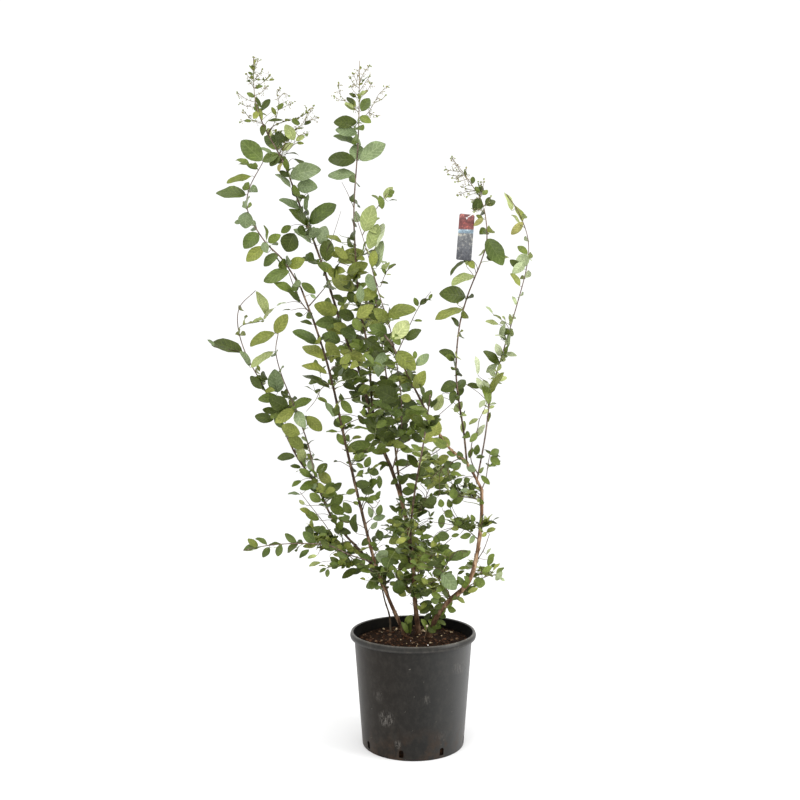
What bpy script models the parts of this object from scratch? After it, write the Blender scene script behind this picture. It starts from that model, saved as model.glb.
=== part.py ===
"""Potted crape myrtle: an upright, many-stemmed garden shrub in a round nursery pot.

Metres, +Z up. The origin is the centre of the pot's flat underside, and the shrub's
best side faces -Y. Three stems rise from one crown in the soil, fork into tapering
boughs, and carry loose masses of leaves that end in airy flower heads.
"""

import math

import bmesh
import bpy
from mathutils import Matrix, Quaternion, Vector, noise

# ---------------------------------------------------------------- driving sizes
GAP = 0.0005                 # clearance kept between neighbouring pieces

POT_HEIGHT = 0.2470
POT_BASE_R = 0.1122          # outer radius at the foot of the wall
POT_WALL_TOP_R = 0.1304      # outer radius just under the lip
POT_LIP_R = 0.1400           # outer radius of the rolled lip
POT_LIP_H = 0.0140
POT_WALL = 0.0025
POT_FLOOR = 0.0035
POT_SIDES = 36

SLOT_COUNT = 8               # drain slots round the foot of the wall
SLOT_W = 0.0100
SLOT_Z0 = 0.0065
SLOT_Z1 = 0.0225
SLOT_TURN = -13.5            # degrees from the front to the nearest slot

SOIL_Z = 0.2240              # soil level beside the wall
CROWN_Z = 0.2285             # flat top of the low mound that the stems stand on
CROWN_R = 0.0560

LIMB_SIDES = 6               # sides of a stem; the boughs have one fewer
RING_STEP = 0.046            # distance between a limb's rings
FLARE = 0.60                 # root flare: extra radius at the soil, as a share
FLARE_H = 0.016

MASS_RINGS = 6
LUMP = 0.30                  # how uneven a leaf mass is

TAG_W = 0.0330
TAG_H = 0.0960
TAG_T = 0.0012
TAG_HOLE_R = 0.0028
TAG_HOLE = Vector((0.1105, -0.1220, 1.1375))
TIE_R = 0.0008
TIE_HALF_W = 0.0048

# Each limb: foot radius, tip radius, whether it stands on the soil, the limbs it
# springs from, and the points it grows through, from its foot to its tip.
LIMBS = {
    "stem_left": (0.0050, 0.0026, True, (), [
        (-0.018, 0.030, CROWN_Z), (-0.052, 0.026, 0.305), (-0.083, 0.016, 0.386),
        (-0.115, -0.006, 0.516), (-0.147, -0.030, 0.657), (-0.180, -0.045, 0.811),
        (-0.210, -0.050, 0.911), (-0.244, -0.045, 1.001)]),
    "stem_centre": (0.0066, 0.0011, True, (), [
        (0.013, 0.040, CROWN_Z), (0.005, 0.040, 0.302), (-0.002, 0.040, 0.406),
        (-0.018, 0.045, 0.501), (-0.047, 0.050, 0.596), (-0.089, 0.070, 0.694),
        (-0.120, 0.090, 0.816), (-0.158, 0.105, 0.910), (-0.216, 0.120, 1.088),
        (-0.263, 0.120, 1.211), (-0.303, 0.115, 1.316), (-0.348, 0.105, 1.400),
        (-0.368, 0.100, 1.464), (-0.371, 0.095, 1.557)]),
    "stem_right": (0.0072, 0.0046, True, (), [
        (0.036, 0.016, CROWN_Z), (0.046, 0.006, 0.262), (0.073, -0.010, 0.307),
        (0.120, -0.020, 0.355), (0.140, -0.020, 0.417), (0.150, -0.020, 0.494),
        (0.151, -0.020, 0.561)]),
    "bough_left_arch": (0.0022, 0.0010, False, ("stem_left",), [
        (-0.244, -0.045, 1.001), (-0.284, -0.042, 1.063), (-0.324, -0.040, 1.104),
        (-0.359, -0.045, 1.166), (-0.356, -0.050, 1.215), (-0.325, -0.060, 1.270)]),
    "bough_top_centre": (0.0032, 0.0011, False, ("stem_centre",), [
        (-0.082, 0.068, 0.680), (-0.093, 0.055, 0.751), (-0.101, 0.040, 0.868),
        (-0.121, 0.030, 0.977), (-0.129, 0.020, 1.086), (-0.132, 0.015, 1.192),
        (-0.122, 0.010, 1.350), (-0.119, 0.000, 1.512)]),
    "bough_front": (0.0030, 0.0012, False, ("stem_centre",), [
        (-0.047, 0.050, 0.596), (-0.028, 0.020, 0.677), (-0.026, -0.010, 0.756),
        (-0.037, -0.040, 0.843), (-0.052, -0.055, 0.919), (-0.075, -0.065, 0.989),
        (-0.103, -0.070, 1.088), (-0.126, -0.080, 1.159)]),
    "bough_back": (0.0034, 0.0015, False, ("stem_centre",), [
        (-0.022, 0.046, 0.519), (-0.034, 0.100, 0.594), (-0.048, 0.160, 0.710),
        (-0.068, 0.210, 0.856), (-0.089, 0.240, 1.007)]),
    "bough_fore": (0.0032, 0.0014, False, ("stem_centre",), [
        (-0.004, 0.040, 0.418), (-0.005, 0.000, 0.473), (0.003, -0.080, 0.566),
        (0.020, -0.160, 0.676), (0.031, -0.210, 0.768)]),
    "bough_crossing": (0.0036, 0.0020, False, ("stem_right",), [
        (0.151, -0.020, 0.561), (0.117, -0.035, 0.620), (0.077, -0.050, 0.655),
        (0.037, -0.070, 0.716), (0.004, -0.085, 0.779), (-0.042, -0.090, 0.868),
        (-0.062, -0.090, 0.896)]),
    "bough_label": (0.0026, 0.0010, False, ("bough_crossing",), [
        (0.117, -0.035, 0.620), (0.109, -0.050, 0.689), (0.092, -0.070, 0.801),
        (0.095, -0.090, 0.900), (0.112, -0.100, 0.973), (0.141, -0.110, 1.048),
        (0.153, -0.115, 1.097), (0.145, -0.120, 1.163), (0.121, -0.120, 1.207),
        (0.080, -0.120, 1.263)]),
    "bough_right_arch": (0.0022, 0.0010, False, ("bough_crossing", "stem_right"), [
        (0.140, -0.022, 0.580), (0.163, 0.030, 0.674), (0.181, 0.070, 0.774),
        (0.210, 0.100, 0.865), (0.244, 0.130, 0.969), (0.274, 0.150, 1.075),
        (0.278, 0.155, 1.143), (0.257, 0.160, 1.208), (0.227, 0.160, 1.253)]),
    "bough_outer_left": (0.0032, 0.0018, False, ("stem_left",), [
        (-0.076, 0.018, 0.368), (-0.108, 0.030, 0.406), (-0.178, 0.050, 0.480),
        (-0.221, 0.065, 0.563), (-0.271, 0.080, 0.633), (-0.320, 0.090, 0.735),
        (-0.357, 0.100, 0.806)]),
    "bough_outer_left_arch": (0.0017, 0.0010, False, ("bough_outer_left",), [
        (-0.357, 0.100, 0.806), (-0.389, 0.105, 0.863), (-0.409, 0.110, 0.927),
        (-0.406, 0.115, 0.977), (-0.370, 0.120, 1.016)]),
    "bough_inner_left": (0.0020, 0.0011, False, ("bough_outer_left",), [
        (-0.221, 0.065, 0.563), (-0.237, 0.050, 0.651), (-0.266, 0.030, 0.740),
        (-0.293, 0.010, 0.812), (-0.305, 0.000, 0.865), (-0.298, -0.010, 0.908)]),
    "shoot_left": (0.0018, 0.0010, False, ("stem_left",), [
        (-0.092, 0.012, 0.396), (-0.139, -0.020, 0.417), (-0.185, -0.050, 0.443),
        (-0.244, -0.080, 0.452), (-0.307, -0.100, 0.451), (-0.356, -0.120, 0.444)]),
}

# Each leaf mass: how much deeper (front to back) than wide it is, a seed for its
# unevenness, and its stations from top to bottom as x, y, z and half-width.
MASSES = {
    "leaves_panicle_left": (1.0, 1, [
        (-0.369, 0.095, 1.557, 0.009), (-0.363, 0.100, 1.517, 0.040),
        (-0.342, 0.100, 1.461, 0.063), (-0.343, 0.105, 1.395, 0.047)]),
    "leaves_panicle_left_side": (1.1, 2, [
        (-0.236, 0.110, 1.450, 0.009), (-0.250, 0.110, 1.420, 0.026),
        (-0.274, 0.110, 1.373, 0.017)]),
    "leaves_left_top": (1.3, 3, [
        (-0.323, 0.100, 1.350, 0.026), (-0.291, 0.100, 1.312, 0.042),
        (-0.261, 0.110, 1.256, 0.043), (-0.255, 0.120, 1.222, 0.018)]),
    "leaves_left_upper": (1.4, 4, [
        (-0.254, 0.120, 1.186, 0.036), (-0.237, 0.120, 1.140, 0.046),
        (-0.218, 0.120, 1.084, 0.044), (-0.198, 0.110, 1.021, 0.026)]),
    "leaves_arch_tip": (1.1, 5, [
        (-0.350, -0.060, 1.312, 0.024), (-0.362, -0.055, 1.255, 0.037),
        (-0.393, -0.050, 1.202, 0.030)]),
    "leaves_arch": (1.2, 6, [
        (-0.364, -0.045, 1.158, 0.022), (-0.343, -0.040, 1.107, 0.035),
        (-0.308, -0.040, 1.052, 0.037), (-0.259, -0.045, 0.993, 0.028)]),
    "leaves_panicle_centre": (1.0, 7, [
        (-0.118, 0.000, 1.506, 0.007), (-0.120, 0.000, 1.470, 0.031),
        (-0.113, 0.000, 1.430, 0.048), (-0.118, 0.000, 1.398, 0.028)]),
    "leaves_top_centre": (1.1, 8, [
        (-0.136, 0.000, 1.385, 0.029), (-0.127, 0.000, 1.334, 0.062),
        (-0.136, 0.000, 1.285, 0.056), (-0.156, 0.000, 1.236, 0.027)]),
    "leaves_light": (1.2, 9, [
        (-0.059, -0.080, 1.191, 0.016), (-0.087, -0.080, 1.138, 0.028),
        (-0.078, -0.078, 1.079, 0.027), (-0.070, -0.070, 1.046, 0.015)]),
    "leaves_centre_upper": (1.2, 10, [
        (-0.159, 0.020, 1.122, 0.031), (-0.137, 0.020, 1.059, 0.067),
        (-0.114, 0.020, 0.987, 0.097), (-0.101, 0.020, 0.920, 0.094)]),
    "leaves_centre": (1.4, 11, [
        (-0.100, 0.000, 0.880, 0.093), (-0.087, 0.000, 0.807, 0.096),
        (-0.063, 0.020, 0.731, 0.090), (-0.043, 0.030, 0.661, 0.063)]),
    "leaves_left_mid": (1.4, 12, [
        (-0.228, -0.050, 0.927, 0.018), (-0.220, -0.050, 0.871, 0.036),
        (-0.209, -0.045, 0.806, 0.036), (-0.197, -0.040, 0.762, 0.022)]),
    "leaves_outer_tip": (1.1, 13, [
        (-0.362, 0.120, 1.013, 0.014), (-0.346, 0.110, 0.958, 0.021),
        (-0.337, 0.100, 0.910, 0.028), (-0.355, 0.100, 0.870, 0.016)]),
    "leaves_outer_left": (1.1, 14, [
        (-0.466, 0.100, 0.884, 0.010), (-0.437, 0.105, 0.887, 0.021),
        (-0.404, 0.105, 0.866, 0.019), (-0.384, 0.100, 0.840, 0.016)]),
    "leaves_outer": (1.5, 15, [
        (-0.338, 0.060, 0.815, 0.030), (-0.318, 0.060, 0.769, 0.046),
        (-0.281, 0.060, 0.726, 0.050), (-0.249, 0.060, 0.693, 0.030)]),
    "leaves_inner_left": (1.4, 16, [
        (-0.263, 0.060, 0.652, 0.028), (-0.235, 0.060, 0.609, 0.046),
        (-0.202, 0.050, 0.553, 0.046), (-0.170, 0.040, 0.506, 0.036)]),
    "leaves_stem_left": (1.3, 17, [
        (-0.160, -0.030, 0.705, 0.026), (-0.130, -0.020, 0.648, 0.044),
        (-0.117, -0.015, 0.581, 0.044), (-0.109, -0.010, 0.528, 0.031)]),
    "leaves_shoot_left": (1.2, 18, [
        (-0.351, -0.120, 0.447, 0.016), (-0.303, -0.100, 0.450, 0.021),
        (-0.247, -0.080, 0.444, 0.028), (-0.204, -0.060, 0.433, 0.030)]),
    "leaves_skirt_left": (1.3, 19, [
        (-0.218, 0.000, 0.473, 0.029), (-0.176, 0.000, 0.433, 0.051),
        (-0.127, 0.005, 0.397, 0.062), (-0.078, 0.015, 0.341, 0.034)]),
    "leaves_skirt": (1.3, 20, [
        (-0.002, 0.000, 0.536, 0.036), (-0.002, 0.000, 0.469, 0.076),
        (0.007, 0.000, 0.384, 0.076), (0.038, 0.000, 0.313, 0.036)]),
    "leaves_skirt_right": (1.3, 21, [
        (0.136, 0.010, 0.400, 0.018), (0.160, 0.010, 0.380, 0.028),
        (0.190, 0.010, 0.371, 0.018)]),
    "leaves_right_low": (1.4, 22, [
        (0.086, -0.020, 0.496, 0.022), (0.112, -0.020, 0.483, 0.027),
        (0.143, -0.020, 0.485, 0.025), (0.173, -0.020, 0.492, 0.013)]),
    "leaves_right_mid": (1.5, 23, [
        (0.034, -0.030, 0.652, 0.034), (0.056, -0.030, 0.612, 0.048),
        (0.080, -0.020, 0.566, 0.044), (0.090, -0.020, 0.540, 0.024)]),
    "leaves_crossing": (1.3, 24, [
        (-0.008, -0.095, 0.850, 0.024), (0.014, -0.085, 0.796, 0.034),
        (0.036, -0.070, 0.744, 0.034), (0.056, -0.060, 0.706, 0.020)]),
    "leaves_label_low": (1.2, 25, [
        (0.082, -0.080, 0.865, 0.021), (0.078, -0.075, 0.811, 0.027),
        (0.090, -0.060, 0.758, 0.027), (0.105, -0.050, 0.704, 0.018)]),
    "leaves_label": (1.2, 26, [
        (0.170, -0.110, 1.070, 0.018), (0.153, -0.110, 1.025, 0.023),
        (0.115, -0.100, 0.980, 0.029), (0.077, -0.090, 0.940, 0.021)]),
    "leaves_panicle_right": (1.1, 27, [
        (0.075, -0.120, 1.261, 0.013), (0.094, -0.120, 1.232, 0.021),
        (0.126, -0.120, 1.205, 0.025), (0.144, -0.120, 1.186, 0.012)]),
    "leaves_right_arch": (1.2, 28, [
        (0.226, 0.160, 1.249, 0.015), (0.252, 0.160, 1.203, 0.022),
        (0.256, 0.150, 1.117, 0.024), (0.246, 0.140, 1.040, 0.016)]),
    "leaves_right": (1.2, 29, [
        (0.210, 0.115, 0.951, 0.022), (0.204, 0.105, 0.887, 0.031),
        (0.193, 0.085, 0.816, 0.028), (0.172, 0.062, 0.750, 0.017)]),
    "leaves_right_side": (1.2, 30, [
        (0.172, 0.020, 0.652, 0.011), (0.184, 0.020, 0.634, 0.017),
        (0.189, 0.020, 0.610, 0.011)]),
    "leaves_back": (1.2, 31, [
        (-0.094, 0.260, 1.020, 0.036), (-0.079, 0.240, 0.933, 0.066),
        (-0.056, 0.195, 0.790, 0.066), (-0.034, 0.135, 0.650, 0.040)]),
    "leaves_fore": (1.2, 32, [
        (0.031, -0.220, 0.754, 0.030), (0.020, -0.165, 0.672, 0.048),
        (0.004, -0.105, 0.584, 0.034)]),
    "leaves_side_shoot": (1.2, 33, [
        (0.036, -0.060, 0.984, 0.011), (0.014, -0.060, 0.956, 0.016),
        (-0.004, -0.060, 0.928, 0.011)]),
    "leaves_skirt_back": (1.0, 34, [
        (-0.020, 0.130, 0.520, 0.030), (-0.010, 0.125, 0.450, 0.046),
        (0.010, 0.110, 0.380, 0.034)]),
}


# ---------------------------------------------------------------- scene helpers
def clear_scene():
    for obj in list(bpy.data.objects):
        bpy.data.objects.remove(obj, do_unlink=True)


def material(name, colour, roughness, metallic=0.0):
    mat = bpy.data.materials.new(name)
    mat.use_nodes = True
    shader = mat.node_tree.nodes["Principled BSDF"]
    shader.inputs["Base Color"].default_value = (*colour, 1.0)
    shader.inputs["Roughness"].default_value = roughness
    shader.inputs["Metallic"].default_value = metallic
    return mat


def add_object(name, bm, mat=None):
    bmesh.ops.recalc_face_normals(bm, faces=bm.faces[:])
    mesh = bpy.data.meshes.new(name)
    bm.to_mesh(mesh)
    bm.free()
    obj = bpy.data.objects.new(name, mesh)
    bpy.context.scene.collection.objects.link(obj)
    if mat is not None:
        mesh.materials.append(mat)
    return obj


def cut(obj, cutter):
    """Takes the cutter's shape out of obj, bakes the result and drops the cutter."""
    mod = obj.modifiers.new("cut", "BOOLEAN")
    mod.operation = "DIFFERENCE"
    mod.solver = "EXACT"
    mod.object = cutter
    graph = bpy.context.evaluated_depsgraph_get()
    result = bpy.data.meshes.new_from_object(obj.evaluated_get(graph))
    obj.modifiers.clear()
    obj.data = result
    bpy.data.objects.remove(cutter, do_unlink=True)


def keep_largest(obj):
    """Drops the small islands that cutting can leave behind."""
    bm = bmesh.new()
    bm.from_mesh(obj.data)
    bmesh.ops.triangulate(bm, faces=bm.faces[:])
    bmesh.ops.remove_doubles(bm, verts=bm.verts[:], dist=1e-5)
    bm.faces.ensure_lookup_table()
    seen, islands = set(), []
    for face in bm.faces:
        if face in seen:
            continue
        stack, island = [face], []
        seen.add(face)
        while stack:
            f = stack.pop()
            island.append(f)
            for edge in f.edges:
                for g in edge.link_faces:
                    if g not in seen:
                        seen.add(g)
                        stack.append(g)
        islands.append(island)
    if len(islands) > 1:
        islands.sort(key=lambda faces: -sum(f.calc_area() for f in faces))
        for island in islands[1:]:
            bmesh.ops.delete(bm, geom=island, context="FACES")
        loose = [v for v in bm.verts if not v.link_faces]
        bmesh.ops.delete(bm, geom=loose, context="VERTS")
    bm.to_mesh(obj.data)
    bm.free()


def bounds(obj):
    xs = [v.co for v in obj.data.vertices]
    low = Vector((min(c[i] for c in xs) for i in range(3)))
    high = Vector((max(c[i] for c in xs) for i in range(3)))
    return low, high


def boxes_meet(a, b, margin=0.002):
    return all(a[0][i] - margin < b[1][i] and b[0][i] - margin < a[1][i]
               for i in range(3))


def smooth(obj, angle=50.0):
    obj.data.shade_smooth()
    obj.data.set_sharp_from_angle(angle=math.radians(angle))


# ---------------------------------------------------------------- curves
def catmull(points, per_span=14):
    """A smooth curve through the points; each point may carry extra numbers."""
    pts = [tuple(p) for p in points]
    first = tuple(2 * a - b for a, b in zip(pts[0], pts[1]))
    last = tuple(2 * a - b for a, b in zip(pts[-1], pts[-2]))
    pts = [first] + pts + [last]
    out = []
    for i in range(1, len(pts) - 2):
        p0, p1, p2, p3 = pts[i - 1:i + 3]
        for k in range(per_span):
            t = k / per_span
            out.append(tuple(
                0.5 * (2 * b + (c - a) * t + (2 * a - 5 * b + 4 * c - d) * t * t
                       + (3 * b - a - 3 * c + d) * t ** 3)
                for a, b, c, d in zip(p0, p1, p2, p3)))
    out.append(pts[-2])
    return out


def resample(curve, count):
    """count points spaced evenly by distance along the curve's first three numbers."""
    dist = [0.0]
    for a, b in zip(curve, curve[1:]):
        dist.append(dist[-1] + (Vector(b[:3]) - Vector(a[:3])).length)
    out, j = [], 0
    for k in range(count):
        d = dist[-1] * k / (count - 1)
        while j < len(curve) - 2 and dist[j + 1] < d:
            j += 1
        span = max(dist[j + 1] - dist[j], 1e-9)
        t = min(max((d - dist[j]) / span, 0.0), 1.0)
        out.append(tuple(a + (b - a) * t for a, b in zip(curve[j], curve[j + 1])))
    return out, dist[-1]


def tangents(path):
    out = []
    for i in range(len(path)):
        a = path[max(i - 1, 0)]
        b = path[min(i + 1, len(path) - 1)]
        out.append((b - a).normalized())
    return out


def frames(path, flat_foot):
    """Side and up vectors of each ring, carried along the path without twist."""
    tans = tangents(path)
    if flat_foot:
        tans[0] = Vector((0, 0, 1))
    side = tans[0].cross(Vector((0, 1, 0))).normalized()
    out = []
    for i, tan in enumerate(tans):
        if i:
            side = tans[i - 1].rotation_difference(tan) @ side
            side = (side - tan * side.dot(tan)).normalized()
        out.append((side.copy(), tan.cross(side).normalized(), tan))
    return out


# ---------------------------------------------------------------- limbs
def limb_mesh(name, grow=0.0):
    """A tapering limb with flat ends, as a bmesh; grow makes a fatter, longer copy."""
    foot_r, tip_r, rooted, _, points = LIMBS[name]
    sides = LIMB_SIDES if rooted else LIMB_SIDES - 1
    length = resample(catmull(points), 2)[1]
    count = max(6, int(round(length / RING_STEP)) + 1)
    path = [Vector(p[:3]) for p in resample(catmull(points), count)[0]]
    if rooted:
        foot = path[0] + Vector((0, 0, GAP * 0.7))
        path[0] = foot
        path.insert(1, foot.lerp(path[1], 0.35))
    rings = frames(path, rooted)
    bm = bmesh.new()
    loops = []
    done = 0.0
    for i, (centre, (side, up, tan)) in enumerate(zip(path, rings)):
        if i:
            done += (path[i] - path[i - 1]).length
        t = min(done / length, 1.0)
        r = tip_r + (foot_r - tip_r) * (1.0 - t) ** 0.85
        if rooted:
            r *= 1.0 + FLARE * math.exp(-done / FLARE_H)
        r += grow
        shift = Vector()
        if grow and i == 0:
            shift = -tan * (grow + 0.0004)
        if grow and i == len(path) - 1:
            shift = tan * (grow + 0.0004)
        loop = []
        for k in range(sides):
            a = 2 * math.pi * k / sides
            loop.append(bm.verts.new(
                centre + shift + side * (r * math.cos(a)) + up * (r * math.sin(a))))
        loops.append(loop)
    for a, b in zip(loops, loops[1:]):
        for k in range(sides):
            n = (k + 1) % sides
            bm.faces.new((a[k], a[n], b[n], b[k]))
    bm.faces.new(loops[0])
    bm.faces.new(loops[-1])
    return bm


# ---------------------------------------------------------------- leaf masses
def mass_mesh(name, grow=0.0):
    """An uneven closed solid swept down its stations, rounded off at both ends."""
    depth, seed, stations = MASSES[name]
    widest = max(s[3] for s in stations)
    sides = 8 if widest > 0.028 else 6
    count = MASS_RINGS if len(stations) > 3 else MASS_RINGS - 1
    samples, _ = resample(catmull(stations), count)
    path = [Vector(s[:3]) for s in samples]
    tans = tangents(path)
    bm = bmesh.new()

    def lump(p):
        q = p / max(widest, 0.018) * 0.85 + Vector((seed * 7.31, seed * 3.17, seed))
        return 1.0 + LUMP * noise.noise(q)

    loops = []
    for i, (centre, tan) in enumerate(zip(path, tans)):
        side = tan.cross(Vector((0, 1, 0))).normalized()
        back = side.cross(tan).normalized()
        r = samples[i][3]
        loop = []
        for k in range(sides):
            a = 2 * math.pi * (k + 0.5 * (i % 2)) / sides
            way = side * math.cos(a) + back * (depth * math.sin(a))
            p = centre + way * r
            p = centre + way * (r * lump(p)) + way.normalized() * grow
            loop.append(bm.verts.new(p))
        loops.append(loop)
    for a, b in zip(loops, loops[1:]):
        shift = loops.index(a) % 2
        for k in range(sides):
            n = (k + 1) % sides
            if shift == 0:
                bm.faces.new((a[k], a[n], b[k]))
                bm.faces.new((a[n], b[n], b[k]))
            else:
                bm.faces.new((a[k], a[n], b[n]))
                bm.faces.new((a[k], b[n], b[k]))
    for loop, centre, tan, r, sign in (
            (loops[0], path[0], tans[0], samples[0][3], -1),
            (loops[-1], path[-1], tans[-1], samples[-1][3], 1)):
        pole = bm.verts.new(centre + tan * (sign * (r * 0.55 + grow)))
        for k in range(sides):
            bm.faces.new((loop[k], loop[(k + 1) % sides], pole))
    return bm


# ---------------------------------------------------------------- pot and soil
def lathe(profile, sides, uneven=None):
    """Turns (radius, z) pairs round Z; a radius of 0 closes the form on the axis."""
    bm = bmesh.new()
    rows = []
    for radius, z in profile:
        if radius <= 1e-9:
            rows.append([bm.verts.new((0, 0, z))])
            continue
        row = []
        for k in range(sides):
            a = 2 * math.pi * k / sides
            x, y = radius * math.cos(a), radius * math.sin(a)
            dz = uneven(x, y, z) if uneven else 0.0
            row.append(bm.verts.new((x, y, z + dz)))
        rows.append(row)
    for a, b in zip(rows, rows[1:]):
        for k in range(sides):
            n = (k + 1) % sides
            quad = [a[k % len(a)], a[n % len(a)], b[n % len(b)], b[k % len(b)]]
            face = []
            for v in quad:
                if v not in face:
                    face.append(v)
            bm.faces.new(face)
    return bm


def wall_radius(z):
    """Outer radius of the pot's wall at height z."""
    top = POT_HEIGHT - POT_LIP_H - 0.004
    t = (z - 0.0015) / (top - 0.0015)
    return POT_BASE_R + (POT_WALL_TOP_R - POT_BASE_R) * t


def pot_body(mat):
    lip0 = POT_HEIGHT - POT_LIP_H
    profile = [
        (0.0, 0.0), (POT_BASE_R - 0.0016, 0.0), (POT_BASE_R, 0.0015),
        (POT_WALL_TOP_R, lip0 - 0.0040), (POT_LIP_R - 0.0016, lip0),
        (POT_LIP_R, lip0 + 0.0030), (POT_LIP_R - 0.0008, POT_HEIGHT - 0.0022),
        (POT_LIP_R - 0.0040, POT_HEIGHT), (POT_LIP_R - 0.0078, POT_HEIGHT - 0.0030),
        (wall_radius(lip0 - 0.004) - POT_WALL, lip0 - 0.0060),
        (wall_radius(POT_FLOOR) - POT_WALL, POT_FLOOR), (0.0, POT_FLOOR)]
    pot = add_object("pot", lathe(profile, POT_SIDES), mat)
    for k in range(SLOT_COUNT):
        a = math.radians(SLOT_TURN - 90.0 + 360.0 * k / SLOT_COUNT)
        bm = bmesh.new()
        outline = []
        for j in range(5):
            t = math.pi * j / 4
            outline.append((math.cos(t) * SLOT_W / 2,
                            SLOT_Z1 - SLOT_W / 2 + math.sin(t) * SLOT_W / 2))
        outline += [(-SLOT_W / 2, SLOT_Z0), (SLOT_W / 2, SLOT_Z0)]
        turn = Matrix.Rotation(a, 4, "Z")
        near = [bm.verts.new(turn @ Vector((0.100, x, z))) for x, z in outline]
        far = [bm.verts.new(turn @ Vector((0.125, x, z))) for x, z in outline]
        for j in range(len(outline)):
            n = (j + 1) % len(outline)
            bm.faces.new((near[j], near[n], far[n], far[j]))
        bm.faces.new(near)
        bm.faces.new(far)
        cut(pot, add_object("slot_cutter", bm))
    pot.data.materials.clear()
    pot.data.materials.append(mat)
    smooth(pot, 40.0)
    return pot


def soil_body(mat):
    """The root ball's soil: full to a little under the lip, with a low mound."""
    def bump(x, y, z):
        r = math.hypot(x, y)
        if z < SOIL_Z - 0.001 or r < CROWN_R + 0.002:
            return 0.0
        return 0.0022 * noise.noise(Vector((x * 40, y * 40, 3.1)))

    r_top = wall_radius(SOIL_Z) - POT_WALL - GAP
    r_bot = wall_radius(POT_FLOOR) - POT_WALL - GAP
    profile = [
        (0.0, POT_FLOOR + GAP), (r_bot, POT_FLOOR + GAP), (r_top, SOIL_Z),
        (r_top * 0.80, SOIL_Z + 0.0004), (CROWN_R, CROWN_Z), (0.0, CROWN_Z)]
    soil = add_object("soil", lathe(profile, POT_SIDES, bump), mat)
    smooth(soil, 35.0)
    return soil


# ---------------------------------------------------------------- tag and tie
def tag_mesh(grow=0.0):
    """A plain hang tag: a thin blade with cut top corners, hung by its hole."""
    w, top, low = TAG_W / 2 + grow, 0.0080 + grow, TAG_H - 0.0080 + grow
    corner = 0.0050
    outline = [(-w, -low), (w, -low), (w, top - corner), (w - corner, top),
               (-w + corner, top), (-w, top - corner)]
    tilt = Matrix.Rotation(math.radians(4.0), 4, "Y") @ Matrix.Rotation(
        math.radians(12.0), 4, "Z")
    bm = bmesh.new()
    t = TAG_T / 2 + grow
    near = [bm.verts.new(TAG_HOLE + tilt @ Vector((x, -t, z))) for x, z in outline]
    far = [bm.verts.new(TAG_HOLE + tilt @ Vector((x, t, z))) for x, z in outline]
    for j in range(len(outline)):
        n = (j + 1) % len(outline)
        bm.faces.new((near[j], near[n], far[n], far[j]))
    bm.faces.new(near)
    bm.faces.new(far)
    return bm


def tag_body(mat):
    tag = add_object("label_tag", tag_mesh(), mat)
    bm = bmesh.new()
    bmesh.ops.create_cone(bm, cap_ends=True, segments=10, radius1=TAG_HOLE_R,
                          radius2=TAG_HOLE_R, depth=0.02,
                          matrix=Matrix.Translation(TAG_HOLE)
                          @ Matrix.Rotation(math.radians(90), 4, "X"))
    cut(tag, add_object("hole_cutter", bm))
    tag.data.materials.clear()
    tag.data.materials.append(mat)
    return tag


def tie_body(mat):
    """A closed loop of thin strap through the tag's hole and round its bough."""
    curve = resample(catmull(LIMBS["bough_label"][4]), 200)[0]
    stem = min((Vector(p[:3]) for p in curve),
               key=lambda p: abs(p.z - (TAG_HOLE.z + 0.022)))
    along = (stem - TAG_HOLE).normalized()
    across = Vector((0, 1, 0))
    across = (across - along * across.dot(along)).normalized()
    normal = along.cross(across)
    length = (stem - TAG_HOLE).length + 0.0055
    centres = []
    arc = 5
    for j in range(arc + 1):
        a = math.pi / 2 + math.pi * j / arc
        centres.append((TIE_HALF_W + TIE_HALF_W * math.cos(a), TIE_HALF_W * math.sin(a)))
    for j in range(arc + 1):
        a = -math.pi / 2 + math.pi * j / arc
        centres.append((length - TIE_HALF_W + TIE_HALF_W * math.cos(a),
                        TIE_HALF_W * math.sin(a)))
    bm = bmesh.new()
    loops = []
    n = len(centres)
    for j, (u, v) in enumerate(centres):
        c = TAG_HOLE + along * u + across * v
        pu, pv = centres[j - 1]
        nu, nv = centres[(j + 1) % n]
        tan = (along * (nu - pu) + across * (nv - pv)).normalized()
        out = tan.cross(normal).normalized()
        loops.append([bm.verts.new(c + out * (TIE_R * math.cos(q))
                                   + normal * (TIE_R * math.sin(q)))
                      for q in (math.radians(x) for x in range(0, 360, 72))])
    for j in range(n):
        a, b = loops[j], loops[(j + 1) % n]
        for k in range(5):
            m = (k + 1) % 5
            bm.faces.new((a[k], a[m], b[m], b[k]))
    return add_object("label_tie", bm, mat)


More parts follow.
